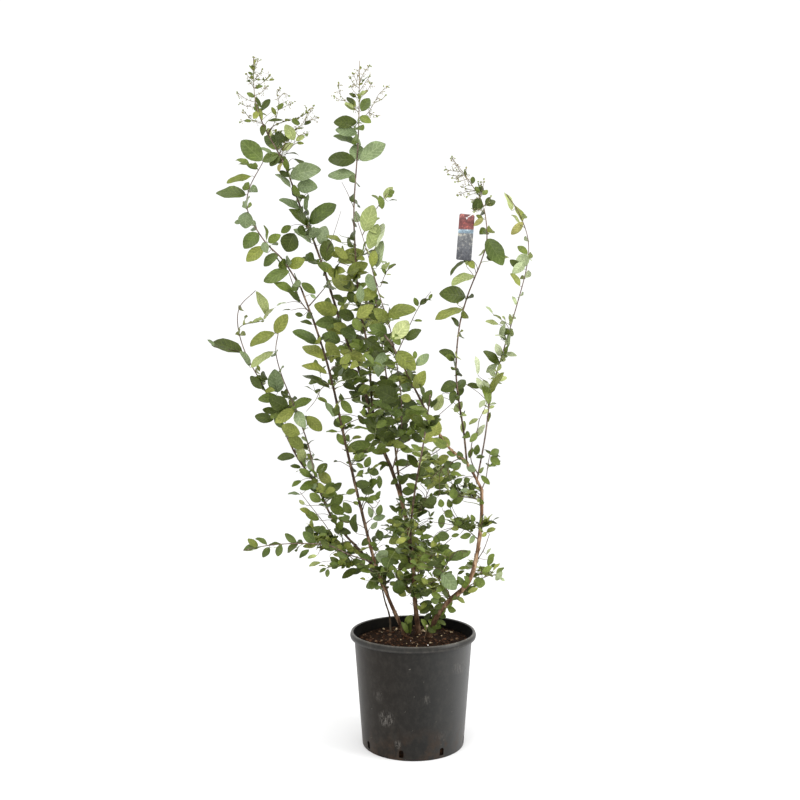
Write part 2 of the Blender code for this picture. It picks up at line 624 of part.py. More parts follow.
# ---------------------------------------------------------------- assembly
def build():
    clear_scene()
    pot_mat = material("charcoal_plastic", (0.055, 0.054, 0.052), 0.55)
    soil_mat = material("bark_soil", (0.055, 0.032, 0.022), 0.95)
    bark_mat = material("bark", (0.19, 0.115, 0.08), 0.80)
    twig_mat = material("young_bark", (0.14, 0.085, 0.07), 0.70)
    leaf_mat = material("leaf_green", (0.085, 0.17, 0.045), 0.60)
    light_mat = material("leaf_light_green", (0.20, 0.30, 0.08), 0.60)
    tag_mat = material("tag_plastic", (0.62, 0.60, 0.56), 0.35)
    tie_mat = material("tie_plastic", (0.70, 0.70, 0.66), 0.40)

    pot_body(pot_mat)
    soil_body(soil_mat)
    tag_body(tag_mat)
    tie_body(tie_mat)

    limbs = {}
    for name, (_, _, rooted, parents, _) in LIMBS.items():
        limb = add_object(name, limb_mesh(name), bark_mat if rooted else twig_mat)
        for parent in parents:
            cut(limb, add_object("limb_cutter", limb_mesh(parent, GAP)))
        if parents:
            keep_largest(limb)
            limb.data.materials.clear()
            limb.data.materials.append(twig_mat)
        smooth(limb)
        limbs[name] = limb

    masses = {}
    light = ("leaves_light", "leaves_right_arch", "leaves_right",
             "leaves_outer_tip", "leaves_panicle_left_side")
    for name in MASSES:
        mat = light_mat if name in light else leaf_mat
        mass = add_object(name, mass_mesh(name), mat)
        box = bounds(mass)
        for other, limb in limbs.items():
            if boxes_meet(box, bounds(limb)):
                cut(mass, add_object("limb_cutter", limb_mesh(other, GAP)))
        for other, done in masses.items():
            if boxes_meet(box, bounds(done)):
                cut(mass, add_object("mass_cutter", mass_mesh(other, 0.0012)))
        if boxes_meet(box, (TAG_HOLE - Vector((0.02, 0.01, 0.09)),
                            TAG_HOLE + Vector((0.02, 0.01, 0.01)))):
            cut(mass, add_object("tag_cutter", tag_mesh(0.0015)))
        keep_largest(mass)
        mass.data.materials.clear()
        mass.data.materials.append(mat)
        mass.data.shade_flat()
        masses[name] = mass


build()
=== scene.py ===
"""The looks of the potted crape myrtle: bark, twigs, leaves, bud heads, pot and soil,
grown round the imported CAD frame."""

import math
import random

import bmesh
import bpy
import numpy as np
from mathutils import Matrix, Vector, noise


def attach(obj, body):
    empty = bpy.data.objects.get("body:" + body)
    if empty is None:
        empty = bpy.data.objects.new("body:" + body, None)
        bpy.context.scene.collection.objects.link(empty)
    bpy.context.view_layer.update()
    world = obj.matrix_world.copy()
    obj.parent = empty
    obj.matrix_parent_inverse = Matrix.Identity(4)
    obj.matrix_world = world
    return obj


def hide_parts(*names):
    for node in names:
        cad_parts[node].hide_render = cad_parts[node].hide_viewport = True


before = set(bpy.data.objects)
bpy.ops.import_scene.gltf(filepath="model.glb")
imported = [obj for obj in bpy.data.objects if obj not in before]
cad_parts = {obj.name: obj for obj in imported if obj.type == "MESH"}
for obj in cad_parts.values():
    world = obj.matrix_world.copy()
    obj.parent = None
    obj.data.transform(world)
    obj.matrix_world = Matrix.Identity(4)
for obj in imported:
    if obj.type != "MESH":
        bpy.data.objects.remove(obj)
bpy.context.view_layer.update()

# ------------------------------------------------------------------ the camera's view
# Leaves and shoots that show singly in the view are placed by where they fall in an
# 800 x 800 view of this camera, and take their depth from the limb that carries them.
EYE = np.array([-0.029, -1.97, 0.758])
FOCAL = 886.0


def at(px, py, y):
    d = y - EYE[1]
    return np.array([EYE[0] + (px - 400.0) / FOCAL * d, y,
                     EYE[2] - (py - 400.0) / FOCAL * d])


def to_view(p):
    p = np.asarray(p, float)
    d = p[..., 1] - EYE[1]
    return np.stack([400.0 + (p[..., 0] - EYE[0]) * FOCAL / d,
                     400.0 - (p[..., 2] - EYE[2]) * FOCAL / d], axis=-1)


# ------------------------------------------------------------------ named sizes
POT_HEIGHT, POT_BASE_R, POT_WALL_TOP_R = 0.2470, 0.1122, 0.1304
POT_LIP_R, POT_LIP_H, POT_WALL, POT_FLOOR = 0.1400, 0.0140, 0.0025, 0.0035
SLOT_COUNT, SLOT_W, SLOT_Z0, SLOT_Z1, SLOT_TURN = 8, 0.0100, 0.0065, 0.0225, -13.5
SOIL_Z, CROWN_Z, CROWN_R = 0.2240, 0.2285, 0.0560
TAG_HOLE = Vector((0.1105, -0.1220, 1.1375))
TAG_W, TAG_H = 0.0330, 0.0960

# The limbs of the CAD frame: foot radius, tip radius, stands on the soil, points.
LIMBS = {
    "stem_left": (0.0050, 0.0026, True, [
        (-0.018, 0.030, CROWN_Z), (-0.052, 0.026, 0.305), (-0.083, 0.016, 0.386),
        (-0.115, -0.006, 0.516), (-0.147, -0.030, 0.657), (-0.180, -0.045, 0.811),
        (-0.210, -0.050, 0.911), (-0.244, -0.045, 1.001)]),
    "stem_centre": (0.0066, 0.0011, True, [
        (0.013, 0.040, CROWN_Z), (0.005, 0.040, 0.302), (-0.002, 0.040, 0.406),
        (-0.018, 0.045, 0.501), (-0.047, 0.050, 0.596), (-0.089, 0.070, 0.694),
        (-0.120, 0.090, 0.816), (-0.158, 0.105, 0.910), (-0.216, 0.120, 1.088),
        (-0.263, 0.120, 1.211), (-0.303, 0.115, 1.316), (-0.348, 0.105, 1.400),
        (-0.368, 0.100, 1.464), (-0.371, 0.095, 1.557)]),
    "stem_right": (0.0072, 0.0046, True, [
        (0.036, 0.016, CROWN_Z), (0.046, 0.006, 0.262), (0.073, -0.010, 0.307),
        (0.120, -0.020, 0.355), (0.140, -0.020, 0.417), (0.150, -0.020, 0.494),
        (0.151, -0.020, 0.561)]),
    "bough_left_arch": (0.0022, 0.0010, False, [
        (-0.244, -0.045, 1.001), (-0.284, -0.042, 1.063), (-0.324, -0.040, 1.104),
        (-0.359, -0.045, 1.166), (-0.356, -0.050, 1.215), (-0.325, -0.060, 1.270)]),
    "bough_top_centre": (0.0032, 0.0011, False, [
        (-0.082, 0.068, 0.680), (-0.093, 0.055, 0.751), (-0.101, 0.040, 0.868),
        (-0.121, 0.030, 0.977), (-0.129, 0.020, 1.086), (-0.132, 0.015, 1.192),
        (-0.122, 0.010, 1.350), (-0.119, 0.000, 1.512)]),
    "bough_front": (0.0030, 0.0012, False, [
        (-0.047, 0.050, 0.596), (-0.028, 0.020, 0.677), (-0.026, -0.010, 0.756),
        (-0.037, -0.040, 0.843), (-0.052, -0.055, 0.919), (-0.075, -0.065, 0.989),
        (-0.103, -0.070, 1.088), (-0.126, -0.080, 1.159)]),
    "bough_back": (0.0034, 0.0015, False, [
        (-0.022, 0.046, 0.519), (-0.034, 0.100, 0.594), (-0.048, 0.160, 0.710),
        (-0.068, 0.210, 0.856), (-0.089, 0.240, 1.007)]),
    "bough_fore": (0.0032, 0.0014, False, [
        (-0.004, 0.040, 0.418), (-0.005, 0.000, 0.473), (0.003, -0.080, 0.566),
        (0.020, -0.160, 0.676), (0.031, -0.210, 0.768)]),
    "bough_crossing": (0.0036, 0.0020, False, [
        (0.151, -0.020, 0.561), (0.117, -0.035, 0.620), (0.077, -0.050, 0.655),
        (0.037, -0.070, 0.716), (0.004, -0.085, 0.779), (-0.042, -0.090, 0.868),
        (-0.062, -0.090, 0.896)]),
    "bough_label": (0.0026, 0.0010, False, [
        (0.117, -0.035, 0.620), (0.109, -0.050, 0.689), (0.092, -0.070, 0.801),
        (0.095, -0.090, 0.900), (0.112, -0.100, 0.973), (0.141, -0.110, 1.048),
        (0.153, -0.115, 1.097), (0.145, -0.120, 1.163), (0.121, -0.120, 1.207),
        (0.080, -0.120, 1.263)]),
    "bough_right_arch": (0.0022, 0.0010, False, [
        (0.140, -0.022, 0.580), (0.163, 0.030, 0.674), (0.181, 0.070, 0.774),
        (0.210, 0.100, 0.865), (0.244, 0.130, 0.969), (0.274, 0.150, 1.075),
        (0.278, 0.155, 1.143), (0.257, 0.160, 1.208), (0.227, 0.160, 1.253)]),
    "bough_outer_left": (0.0032, 0.0018, False, [
        (-0.076, 0.018, 0.368), (-0.108, 0.030, 0.406), (-0.178, 0.050, 0.480),
        (-0.221, 0.065, 0.563), (-0.271, 0.080, 0.633), (-0.320, 0.090, 0.735),
        (-0.357, 0.100, 0.806)]),
    "bough_outer_left_arch": (0.0017, 0.0010, False, [
        (-0.357, 0.100, 0.806), (-0.389, 0.105, 0.863), (-0.409, 0.110, 0.927),
        (-0.406, 0.115, 0.977), (-0.370, 0.120, 1.016)]),
    "bough_inner_left": (0.0020, 0.0011, False, [
        (-0.221, 0.065, 0.563), (-0.237, 0.050, 0.651), (-0.266, 0.030, 0.740),
        (-0.293, 0.010, 0.812), (-0.305, 0.000, 0.865), (-0.298, -0.010, 0.908)]),
    "shoot_left": (0.0018, 0.0010, False, [
        (-0.092, 0.012, 0.396), (-0.139, -0.020, 0.417), (-0.185, -0.050, 0.443),
        (-0.244, -0.080, 0.452), (-0.307, -0.100, 0.451), (-0.356, -0.120, 0.444)]),
}

# How the leaves of each CAD mass grow back: stations of the mass (x, y, z, half-width),
# its depth factor, number of side shoots, leaf length (m), and the mix of leaf tints.
# Tints: D dark (a dark green, darkened further as painted shade), M deep, G green, O olive, B grey sheen (a green
# lightened and blued as a painted sky sheen), L light, P pale (painted light shining through the leaf), Y yellowing.
MASSES = {
    "leaves_panicle_left": ([(-.369, .095, 1.557, .009), (-.363, .1, 1.517, .04),
                             (-.342, .1, 1.461, .063), (-.343, .105, 1.395, .047)],
                            1.0, 5, 0.017, "GGO", 0.6),
    "leaves_panicle_left_side": ([(-.236, .11, 1.45, .009), (-.25, .11, 1.42, .026),
                                  (-.274, .11, 1.373, .017)],
                                 1.1, 2, 0.015, "LO", 0.5),
    "leaves_left_top": ([(-.323, .1, 1.35, .026), (-.291, .1, 1.312, .042),
                         (-.261, .11, 1.256, .043), (-.255, .12, 1.222, .018)],
                        1.3, 2, 0.040, "MDG", 0.75),
    "leaves_left_upper": ([(-.254, .12, 1.186, .036), (-.237, .12, 1.14, .046),
                           (-.218, .12, 1.084, .044), (-.198, .11, 1.021, .026)],
                          1.4, 3, 0.046, "MDB", 0.75),
    "leaves_arch_tip": ([(-.35, -.06, 1.312, .024), (-.362, -.055, 1.255, .037),
                         (-.393, -.05, 1.202, .03)],
                        1.1, 1, 0.044, "GB", 0.8),
    "leaves_arch": ([(-.364, -.045, 1.158, .022), (-.343, -.04, 1.107, .035),
                     (-.308, -.04, 1.052, .037), (-.259, -.045, .993, .028)],
                    1.2, 4, 0.042, "MGBO", 0.8),
    "leaves_panicle_centre": ([(-.118, 0, 1.506, .007), (-.12, 0, 1.47, .031),
                               (-.113, 0, 1.43, .048), (-.118, 0, 1.398, .028)],
                              1.0, 2, 0.015, "GO", 0.5),
    "leaves_top_centre": ([(-.136, 0, 1.385, .029), (-.127, 0, 1.334, .062),
                           (-.136, 0, 1.285, .056), (-.156, 0, 1.236, .027)],
                          1.1, 1, 0.040, "DG", 0.8),
    "leaves_light": ([(-.059, -.08, 1.191, .016), (-.087, -.08, 1.138, .028),
                      (-.078, -.078, 1.079, .027), (-.07, -.07, 1.046, .015)],
                     1.2, 5, 0.042, "LLP", 0.8),
    "leaves_centre_upper": ([(-.159, .02, 1.122, .031), (-.137, .02, 1.059, .067),
                             (-.114, .02, .987, .097), (-.101, .02, .92, .094)],
                            1.2, 23, 0.042, "OGDDO", 0.9),
    "leaves_centre": ([(-.1, 0, .88, .093), (-.087, 0, .807, .096),
                       (-.063, .02, .731, .09), (-.043, .03, .661, .063)],
                      1.4, 54, 0.037, "GDOMDG", 0.95),
    "leaves_left_mid": ([(-.228, -.05, .927, .018), (-.22, -.05, .871, .036),
                         (-.209, -.045, .806, .036), (-.197, -.04, .762, .022)],
                        1.4, 3, 0.040, "GOD", 0.8),
    "leaves_outer_tip": ([(-.362, .12, 1.013, .014), (-.346, .11, .958, .021),
                          (-.337, .1, .91, .028), (-.355, .1, .87, .016)],
                         1.1, 1, 0.040, "LO", 0.8),
    "leaves_outer_left": ([(-.466, .1, .884, .01), (-.437, .105, .887, .021),
                           (-.404, .105, .866, .019), (-.384, .1, .84, .016)],
                          1.1, 1, 0.024, "DB", 0.8),
    "leaves_outer": ([(-.338, .06, .815, .03), (-.318, .06, .769, .046),
                      (-.281, .06, .726, .05), (-.249, .06, .693, .03)],
                     1.5, 7, 0.038, "MDGO", 0.9),
    "leaves_inner_left": ([(-.263, .06, .652, .028), (-.235, .06, .609, .046),
                           (-.202, .05, .553, .046), (-.17, .04, .506, .036)],
                          1.4, 15, 0.030, "GGODD", 0.9),
    "leaves_stem_left": ([(-.16, -.03, .705, .026), (-.13, -.02, .648, .044),
                          (-.117, -.015, .581, .044), (-.109, -.01, .528, .031)],
                         1.3, 11, 0.029, "GGDO", 0.9),
    "leaves_shoot_left": ([(-.351, -.12, .447, .016), (-.303, -.1, .45, .021),
                           (-.247, -.08, .444, .028), (-.204, -.06, .433, .03)],
                          1.2, 4, 0.025, "GDO", 0.8),
    "leaves_skirt_left": ([(-.218, 0, .473, .029), (-.176, 0, .433, .051),
                           (-.127, .005, .397, .062), (-.078, .015, .341, .034)],
                          1.3, 52, 0.025, "GMODDO", 1.0),
    "leaves_skirt": ([(-.002, 0, .536, .036), (-.002, 0, .469, .076),
                      (.007, 0, .384, .076), (.038, 0, .313, .036)],
                     1.3, 94, 0.027, "GGODMOD", 1.0),
    "leaves_skirt_right": ([(.136, .01, .4, .018), (.16, .01, .38, .028),
                            (.19, .01, .371, .018)],
                           1.3, 13, 0.023, "LGPO", 0.95),
    "leaves_right_low": ([(.086, -.02, .496, .022), (.112, -.02, .483, .027),
                          (.143, -.02, .485, .025), (.173, -.02, .492, .013)],
                         1.4, 15, 0.025, "GDLO", 0.95),
    "leaves_right_mid": ([(.034, -.03, .652, .034), (.056, -.03, .612, .048),
                          (.08, -.02, .566, .044), (.09, -.02, .54, .024)],
                         1.5, 28, 0.029, "GDOOGL", 0.95),
    "leaves_crossing": ([(-.008, -.095, .85, .024), (.014, -.085, .796, .034),
                         (.036, -.07, .744, .034), (.056, -.06, .706, .02)],
                        1.3, 5, 0.036, "GODD", 0.9),
    "leaves_label_low": ([(.082, -.08, .865, .021), (.078, -.075, .811, .027),
                          (.09, -.06, .758, .027), (.105, -.05, .704, .018)],
                         1.2, 3, 0.030, "DGL", 0.8),
    "leaves_label": ([(.17, -.11, 1.07, .018), (.153, -.11, 1.025, .023),
                      (.115, -.1, .98, .029), (.077, -.09, .94, .021)],
                     1.2, 2, 0.044, "DGO", 0.7),
    "leaves_panicle_right": ([(.075, -.12, 1.261, .013), (.094, -.12, 1.232, .021),
                              (.126, -.12, 1.205, .025), (.144, -.12, 1.186, .012)],
                             1.1, 1, 0.018, "DG", 0.6),
    "leaves_right_arch": ([(.226, .16, 1.249, .015), (.252, .16, 1.203, .022),
                           (.256, .15, 1.117, .024), (.246, .14, 1.04, .016)],
                          1.2, 1, 0.036, "LPO", 0.8),
    "leaves_right": ([(.21, .115, .951, .022), (.204, .105, .887, .031),
                      (.193, .085, .816, .028), (.172, .062, .75, .017)],
                     1.2, 9, 0.030, "PLLG", 0.8),
    "leaves_right_side": ([(.172, .02, .652, .011), (.184, .02, .634, .017),
                           (.189, .02, .61, .011)],
                          1.2, 2, 0.020, "G", 0.8),
    "leaves_back": ([(-.094, .26, 1.02, .036), (-.079, .24, .933, .066),
                     (-.056, .195, .79, .066), (-.034, .135, .65, .04)],
                    1.2, 24, 0.040, "GGDOD", 0.9),
    "leaves_fore": ([(.031, -.22, .754, .03), (.02, -.165, .672, .048),
                     (.004, -.105, .584, .034)],
                    1.2, 11, 0.036, "GDODG", 0.9),
    "leaves_side_shoot": ([(.036, -.06, .984, .011), (.014, -.06, .956, .016),
                           (-.004, -.06, .928, .011)],
                          1.2, 1, 0.018, "G", 0.8),
    "leaves_skirt_back": ([(-.02, .13, .52, .03), (-.01, .125, .45, .046),
                           (.01, .11, .38, .034)],
                          1.0, 20, 0.028, "GGOD", 1.0),
}


# ------------------------------------------------------------------ curve helpers
def catmull(points, per_span=14):
    pts = [np.asarray(p, float) for p in points]
    pts = [2 * pts[0] - pts[1]] + pts + [2 * pts[-1] - pts[-2]]
    out = []
    for i in range(1, len(pts) - 2):
        p0, p1, p2, p3 = pts[i - 1:i + 3]
        for k in range(per_span):
            t = k / per_span
            out.append(0.5 * (2 * p1 + (p2 - p0) * t
                              + (2 * p0 - 5 * p1 + 4 * p2 - p3) * t * t
                              + (3 * p1 - p0 - 3 * p2 + p3) * t ** 3))
    out.append(pts[-2])
    return np.array(out)


def resample(curve, step=None, count=None):
    seg = np.linalg.norm(np.diff(curve[:, :3], axis=0), axis=1)
    dist = np.concatenate([[0], np.cumsum(seg)])
    if count is None:
        count = max(3, int(round(dist[-1] / step)) + 1)
    d = np.linspace(0, dist[-1], count)
    out = np.stack([np.interp(d, dist, curve[:, i]) for i in range(curve.shape[1])], 1)
    return out, dist[-1]


def unit(v):
    n = np.linalg.norm(v, axis=-1, keepdims=True)
    return v / np.maximum(n, 1e-12)


def sweep_frames(path):
    tan = np.empty_like(path)
    tan[1:-1] = path[2:] - path[:-2]
    tan[0] = path[1] - path[0]
    tan[-1] = path[-1] - path[-2]
    tan = unit(tan)
    ref = np.array([0.0, 1.0, 0.0]) if abs(tan[0][1]) < 0.9 else np.array([1.0, 0, 0])
    side = unit(np.cross(tan[0], ref))
    sides = [side]
    for i in range(1, len(path)):
        side = sides[-1] - tan[i] * np.dot(sides[-1], tan[i])
        sides.append(unit(side))
    sides = np.array(sides)
    return tan, sides, np.cross(tan, sides)


# ------------------------------------------------------------------ mesh batches
class Batch:
    """Gathers vertices, faces and slot numbers, then makes one joined mesh of them."""

    def __init__(self):
        self.v, self.f, self.m, self.n, self.st = [], [], [], 0, []

    def add(self, verts, faces, slots=0):
        self.v.append(np.asarray(verts, float).reshape(-1, 3))
        for f in faces:
            self.f.append(tuple(i + self.n for i in f))
        if np.isscalar(slots):
            self.m.extend([slots] * len(faces))
        else:
            self.m.extend(slots)
        self.n += len(self.v[-1])

    def add_many(self, verts, quads, slots, st):
        """verts (N, M, 3); quads (Q, 4 or 3) on M; slots (Q,) on the template; st
        (N, M, 3) holds how far along and across its leaf a point is, and its tone."""
        count, m = verts.shape[:2]
        self.st.append(st.reshape(-1, 3))
        base = self.n
        self.v.append(verts.reshape(-1, 3))
        for i in range(count):
            off = base + i * m
            self.f.extend([tuple(off + k for k in q) for q in quads])
            self.m.extend(slots)
        self.n += count * m

    def make(self, name, mats, smooth=True):
        mesh = bpy.data.meshes.new(name)
        if self.v:
            mesh.from_pydata(np.concatenate(self.v).tolist(), [], self.f)
            for mat in mats:
                mesh.materials.append(mat)
            mesh.polygons.foreach_set("material_index", np.array(self.m, dtype=np.int32))
            mesh.polygons.foreach_set("use_smooth", np.full(len(self.f), smooth))
        if self.st:
            data = mesh.attributes.new("leaf_st", "FLOAT_VECTOR", "POINT")
            data.data.foreach_set("vector", np.concatenate(self.st).ravel())
        mesh.update()
        obj = bpy.data.objects.new(name, mesh)
        bpy.context.scene.collection.objects.link(obj)
        return obj


def tube(batch, path, radii, sides, slot=0, relief=None, cap=True):
    """A round branch along path. relief(i, angle) gives a radius factor."""
    tan, s, u = sweep_frames(path)
    ang = np.arange(sides) * 2 * np.pi / sides
    ring = (np.cos(ang)[None, :, None] * s[:, None, :]
            + np.sin(ang)[None, :, None] * u[:, None, :])
    r = np.asarray(radii, float)[:, None] * np.ones((1, sides))
    if relief is not None:
        r = r * relief(len(path), sides)
    verts = path[:, None, :] + ring * r[:, :, None]
    n = len(path)
    faces = []
    for i in range(n - 1):
        for k in range(sides):
            m = (k + 1) % sides
            faces.append((i * sides + k, i * sides + m, (i + 1) * sides + m,
                          (i + 1) * sides + k))
    verts = verts.reshape(-1, 3)
    if cap:
        tip = path[-1] + tan[-1] * radii[-1] * 0.9
        verts = np.concatenate([verts, [tip]])
        for k in range(sides):
            m = (k + 1) % sides
            faces.append(((n - 1) * sides + k, (n - 1) * sides + m, n * sides))
    batch.add(verts, faces, slot)


# ------------------------------------------------------------------ materials
def new_mat(name):
    mat = bpy.data.materials.new(name)
    mat.use_nodes = True
    nt = mat.node_tree
    return mat, nt, nt.nodes["Principled BSDF"]


def add_noise(nt, scale, detail=4.0, rough=0.55, stretch=None, loc=(0, 0, 0)):
    coord = nt.nodes.new("ShaderNodeTexCoord")
    mapping = nt.nodes.new("ShaderNodeMapping")
    mapping.inputs["Scale"].default_value = stretch or (1, 1, 1)
    mapping.inputs["Location"].default_value = loc
    tex = nt.nodes.new("ShaderNodeTexNoise")
    tex.inputs["Scale"].default_value = scale
    tex.inputs["Detail"].default_value = detail
    tex.inputs["Roughness"].default_value = rough
    nt.links.new(coord.outputs["Object"], mapping.inputs["Vector"])
    nt.links.new(mapping.outputs["Vector"], tex.inputs["Vector"])
    return tex


def ramp(nt, fac, stops):
    node = nt.nodes.new("ShaderNodeValToRGB")
    cr = node.color_ramp
    while len(cr.elements) < len(stops):
        cr.elements.new(0.5)
    for e, (pos, col) in zip(cr.elements, stops):
        e.position = pos
        e.color = (*col, 1.0)
    nt.links.new(fac, node.inputs["Fac"])
    return node.outputs["Color"]


def add_bump(nt, bsdf, height, strength, distance):
    node = nt.nodes.new("ShaderNodeBump")
    node.inputs["Strength"].default_value = strength
    node.inputs["Distance"].default_value = distance
    nt.links.new(height, node.inputs["Height"])
    nt.links.new(node.outputs["Normal"], bsdf.inputs["Normal"])


def scaled(c, k):
    return tuple(min(1.0, x * k) for x in c)


def times(nt, a, b):
    """The product of two colours."""
    node = nt.nodes.new("ShaderNodeMix")
    node.data_type, node.blend_type = "RGBA", "MULTIPLY"
    node.inputs["Factor"].default_value = 1.0
    socks = [k for k in node.inputs if k.type == "RGBA"]
    nt.links.new(a, socks[0])
    nt.links.new(b, socks[1])
    return next(k for k in node.outputs if k.type == "RGBA")


def sum_of(nt, operation, a, b, c=None):
    node = nt.nodes.new("ShaderNodeMath")
    node.operation = operation
    for k, v in enumerate((a, b, c)):
        if v is None:
            continue
        if isinstance(v, (int, float)):
            node.inputs[k].default_value = v
        else:
            nt.links.new(v, node.inputs[k])
    return node.outputs["Value"]


def leaf_mat(name, colour, rough, spread=0.24, veins=True):
    """A leaf tint with mottling at two scales, side veins and a tone of its own, whose bright bluish top end is a
    painted sheen on a few leaves.
    """
    mat, nt, bsdf = new_mat(name)
    wide, small = add_noise(nt, 34.0, 2.0), add_noise(nt, 210.0, 3.0, 0.6)
    half = sum_of(nt, "MULTIPLY", sum_of(nt, "ADD", wide.outputs["Fac"],
                                         small.outputs["Fac"]), 0.5)
    lo, hi = scaled(colour, 1 - spread), scaled(colour, 1 + spread)
    top = (min(1.0, hi[0] * 1.18 + 0.008), min(1.0, hi[1] * 1.12 + 0.008), hi[2] * 1.05)
    tone = ramp(nt, half, [(0.36, lo), (0.50, colour), (0.60, hi), (0.68, top)])
    att = nt.nodes.new("ShaderNodeAttribute")
    att.attribute_name = "leaf_st"
    part = nt.nodes.new("ShaderNodeSeparateXYZ")
    nt.links.new(att.outputs["Vector"], part.inputs["Vector"])
    # Each leaf's own tone, at random; its bright bluish top end is a painted sheen.
    own_tone_and_sheen = ramp(nt, part.outputs["Z"], [(0.0, (0.76, 0.79, 0.74)), (0.5, (1.0, 1.0, 1.0)),
                                       (0.80, (1.11, 1.08, 1.15)),
                                       (1.0, (1.30, 1.24, 1.44))])
    tone = times(nt, tone, own_tone_and_sheen)
    across = sum_of(nt, "ABSOLUTE", part.outputs["Y"], None)
    line = sum_of(nt, "MULTIPLY_ADD", part.outputs["X"], 6.4,
                  sum_of(nt, "MULTIPLY", across, -1.7))
    wave = sum_of(nt, "PINGPONG", line, 0.5)
    if veins:
        lines = ramp(nt, wave, [(0.0, (1.42, 1.36, 1.60)), (0.10, (1.08, 1.07, 1.10)),
                                (0.20, (0.94, 0.95, 0.93)), (0.50, (0.97, 0.98, 0.96))])
        tone = times(nt, tone, lines)
    nt.links.new(tone, bsdf.inputs["Base Color"])
    bsdf.inputs["Roughness"].default_value = rough
    bsdf.inputs["Specular IOR Level"].default_value = 0.24
    height = sum_of(nt, "MULTIPLY_ADD", wave, 0.9, small.outputs["Fac"])
    add_bump(nt, bsdf, height, 0.50, 0.0011)
    return mat


# Some tints hold painted light: B a painted sky sheen, P painted light shining through the leaf, D partly painted
# shade.
TINTS = {
    "D": ((0.052, 0.072, 0.009), 0.42), "M": ((0.082, 0.117, 0.023), 0.40),
    "G": ((0.112, 0.152, 0.024), 0.42), "O": ((0.172, 0.200, 0.036), 0.45),
    "B": ((0.178, 0.230, 0.104), 0.38), "L": ((0.290, 0.338, 0.122), 0.50),
    "P": ((0.345, 0.400, 0.215), 0.55), "Y": ((0.290, 0.280, 0.088), 0.55),
}
TINT_NAMES = {"D": "dark", "M": "deep", "G": "green", "O": "olive", "B": "sky_sheen", "L": "light",
              "P": "pale", "Y": "yellowing"}


def bark_mat(name, low, mid, high, scale, stretch, strength, rough=0.85):
    mat, nt, bsdf = new_mat(name)
    tex = add_noise(nt, scale, 6.0, 0.65, stretch)
    nt.links.new(ramp(nt, tex.outputs["Fac"],
                      [(0.32, low), (0.50, mid), (0.68, high)]),
                 bsdf.inputs["Base Color"])
    bsdf.inputs["Roughness"].default_value = rough
    bsdf.inputs["Specular IOR Level"].default_value = 0.15
    if name == "bark_low":
        coord = nt.nodes.new("ShaderNodeTexCoord")
        split = nt.nodes.new("ShaderNodeSeparateXYZ")
        nt.links.new(coord.outputs["Object"], split.inputs["Vector"])
        up = nt.nodes.new("ShaderNodeMapRange")
        up.inputs["From Min"].default_value = 0.215
        up.inputs["From Max"].default_value = 0.350
        nt.links.new(split.outputs["Z"], up.inputs["Value"])
        # Painted shade: the foot of the stems darkens toward the soil, under the leaf skirt.
        painted_base_shade = ramp(nt, up.outputs["Result"], [(0.0, (0.30, 0.25, 0.22)),
                                               (1.0, (1.0, 1.0, 1.0))])
        both = nt.nodes.new("ShaderNodeMix")
        both.data_type, both.blend_type = "RGBA", "MULTIPLY"
        both.inputs["Factor"].default_value = 1.0
        socks = [k for k in both.inputs if k.type == "RGBA"]
        nt.links.new(bsdf.inputs["Base Color"].links[0].from_socket, socks[0])
        nt.links.new(painted_base_shade, socks[1])
        nt.links.new(next(k for k in both.outputs if k.type == "RGBA"),
                     bsdf.inputs["Base Color"])
    fine = add_noise(nt, scale * 3.2, 5.0, 0.7, stretch)
    add_bump(nt, bsdf, fine.outputs["Fac"], strength, 0.0010)
    return mat


# ------------------------------------------------------------------ branches
class Branch:
    def __init__(self, name, path, radii, level):
        self.name, self.path, self.radii, self.level = name, path, radii, level
        self.view = to_view(path)
        tan = np.gradient(path, axis=0)
        self.tan = unit(tan)


branches = []


def limb_radii(name, path, length):
    foot, tip, rooted = LIMBS[name][:3]
    d = np.concatenate([[0], np.cumsum(np.linalg.norm(np.diff(path, axis=0), axis=1))])
    t = np.clip(d / length, 0, 1)
    r = tip + (foot - tip) * (1 - t) ** 0.85
    if rooted:
        r = r * (1 + 0.30 * np.exp(-d / 0.014))
    return r


for limb_name, (foot_r, tip_r, rooted, points) in LIMBS.items():
    path, length = resample(catmull(points), step=0.004)
    if rooted:
        path[0][2] -= 0.004
    branches.append(Branch(limb_name, path, limb_radii(limb_name, path, length), 0))


def nearest_in_view(px, py, only=None, limit=60.0, levels=(0, 1, 2)):
    best, hit = limit, None
    for b in branches:
        if only and b.name not in only:
            continue
        if b.level not in levels:
            continue
        d = np.hypot(b.view[:, 0] - px, b.view[:, 1] - py)
        i = int(np.argmin(d))
        if d[i] < best:
            best, hit = d[i], (b, i)
    return hit, best


def by_name(name):
    return next(b for b in branches if b.name == name)


def bezier(a, b, c, d, n):
    t = np.linspace(0, 1, n)[:, None]
    return ((1 - t) ** 3 * a + 3 * (1 - t) ** 2 * t * b + 3 * (1 - t) * t * t * c
            + t ** 3 * d)


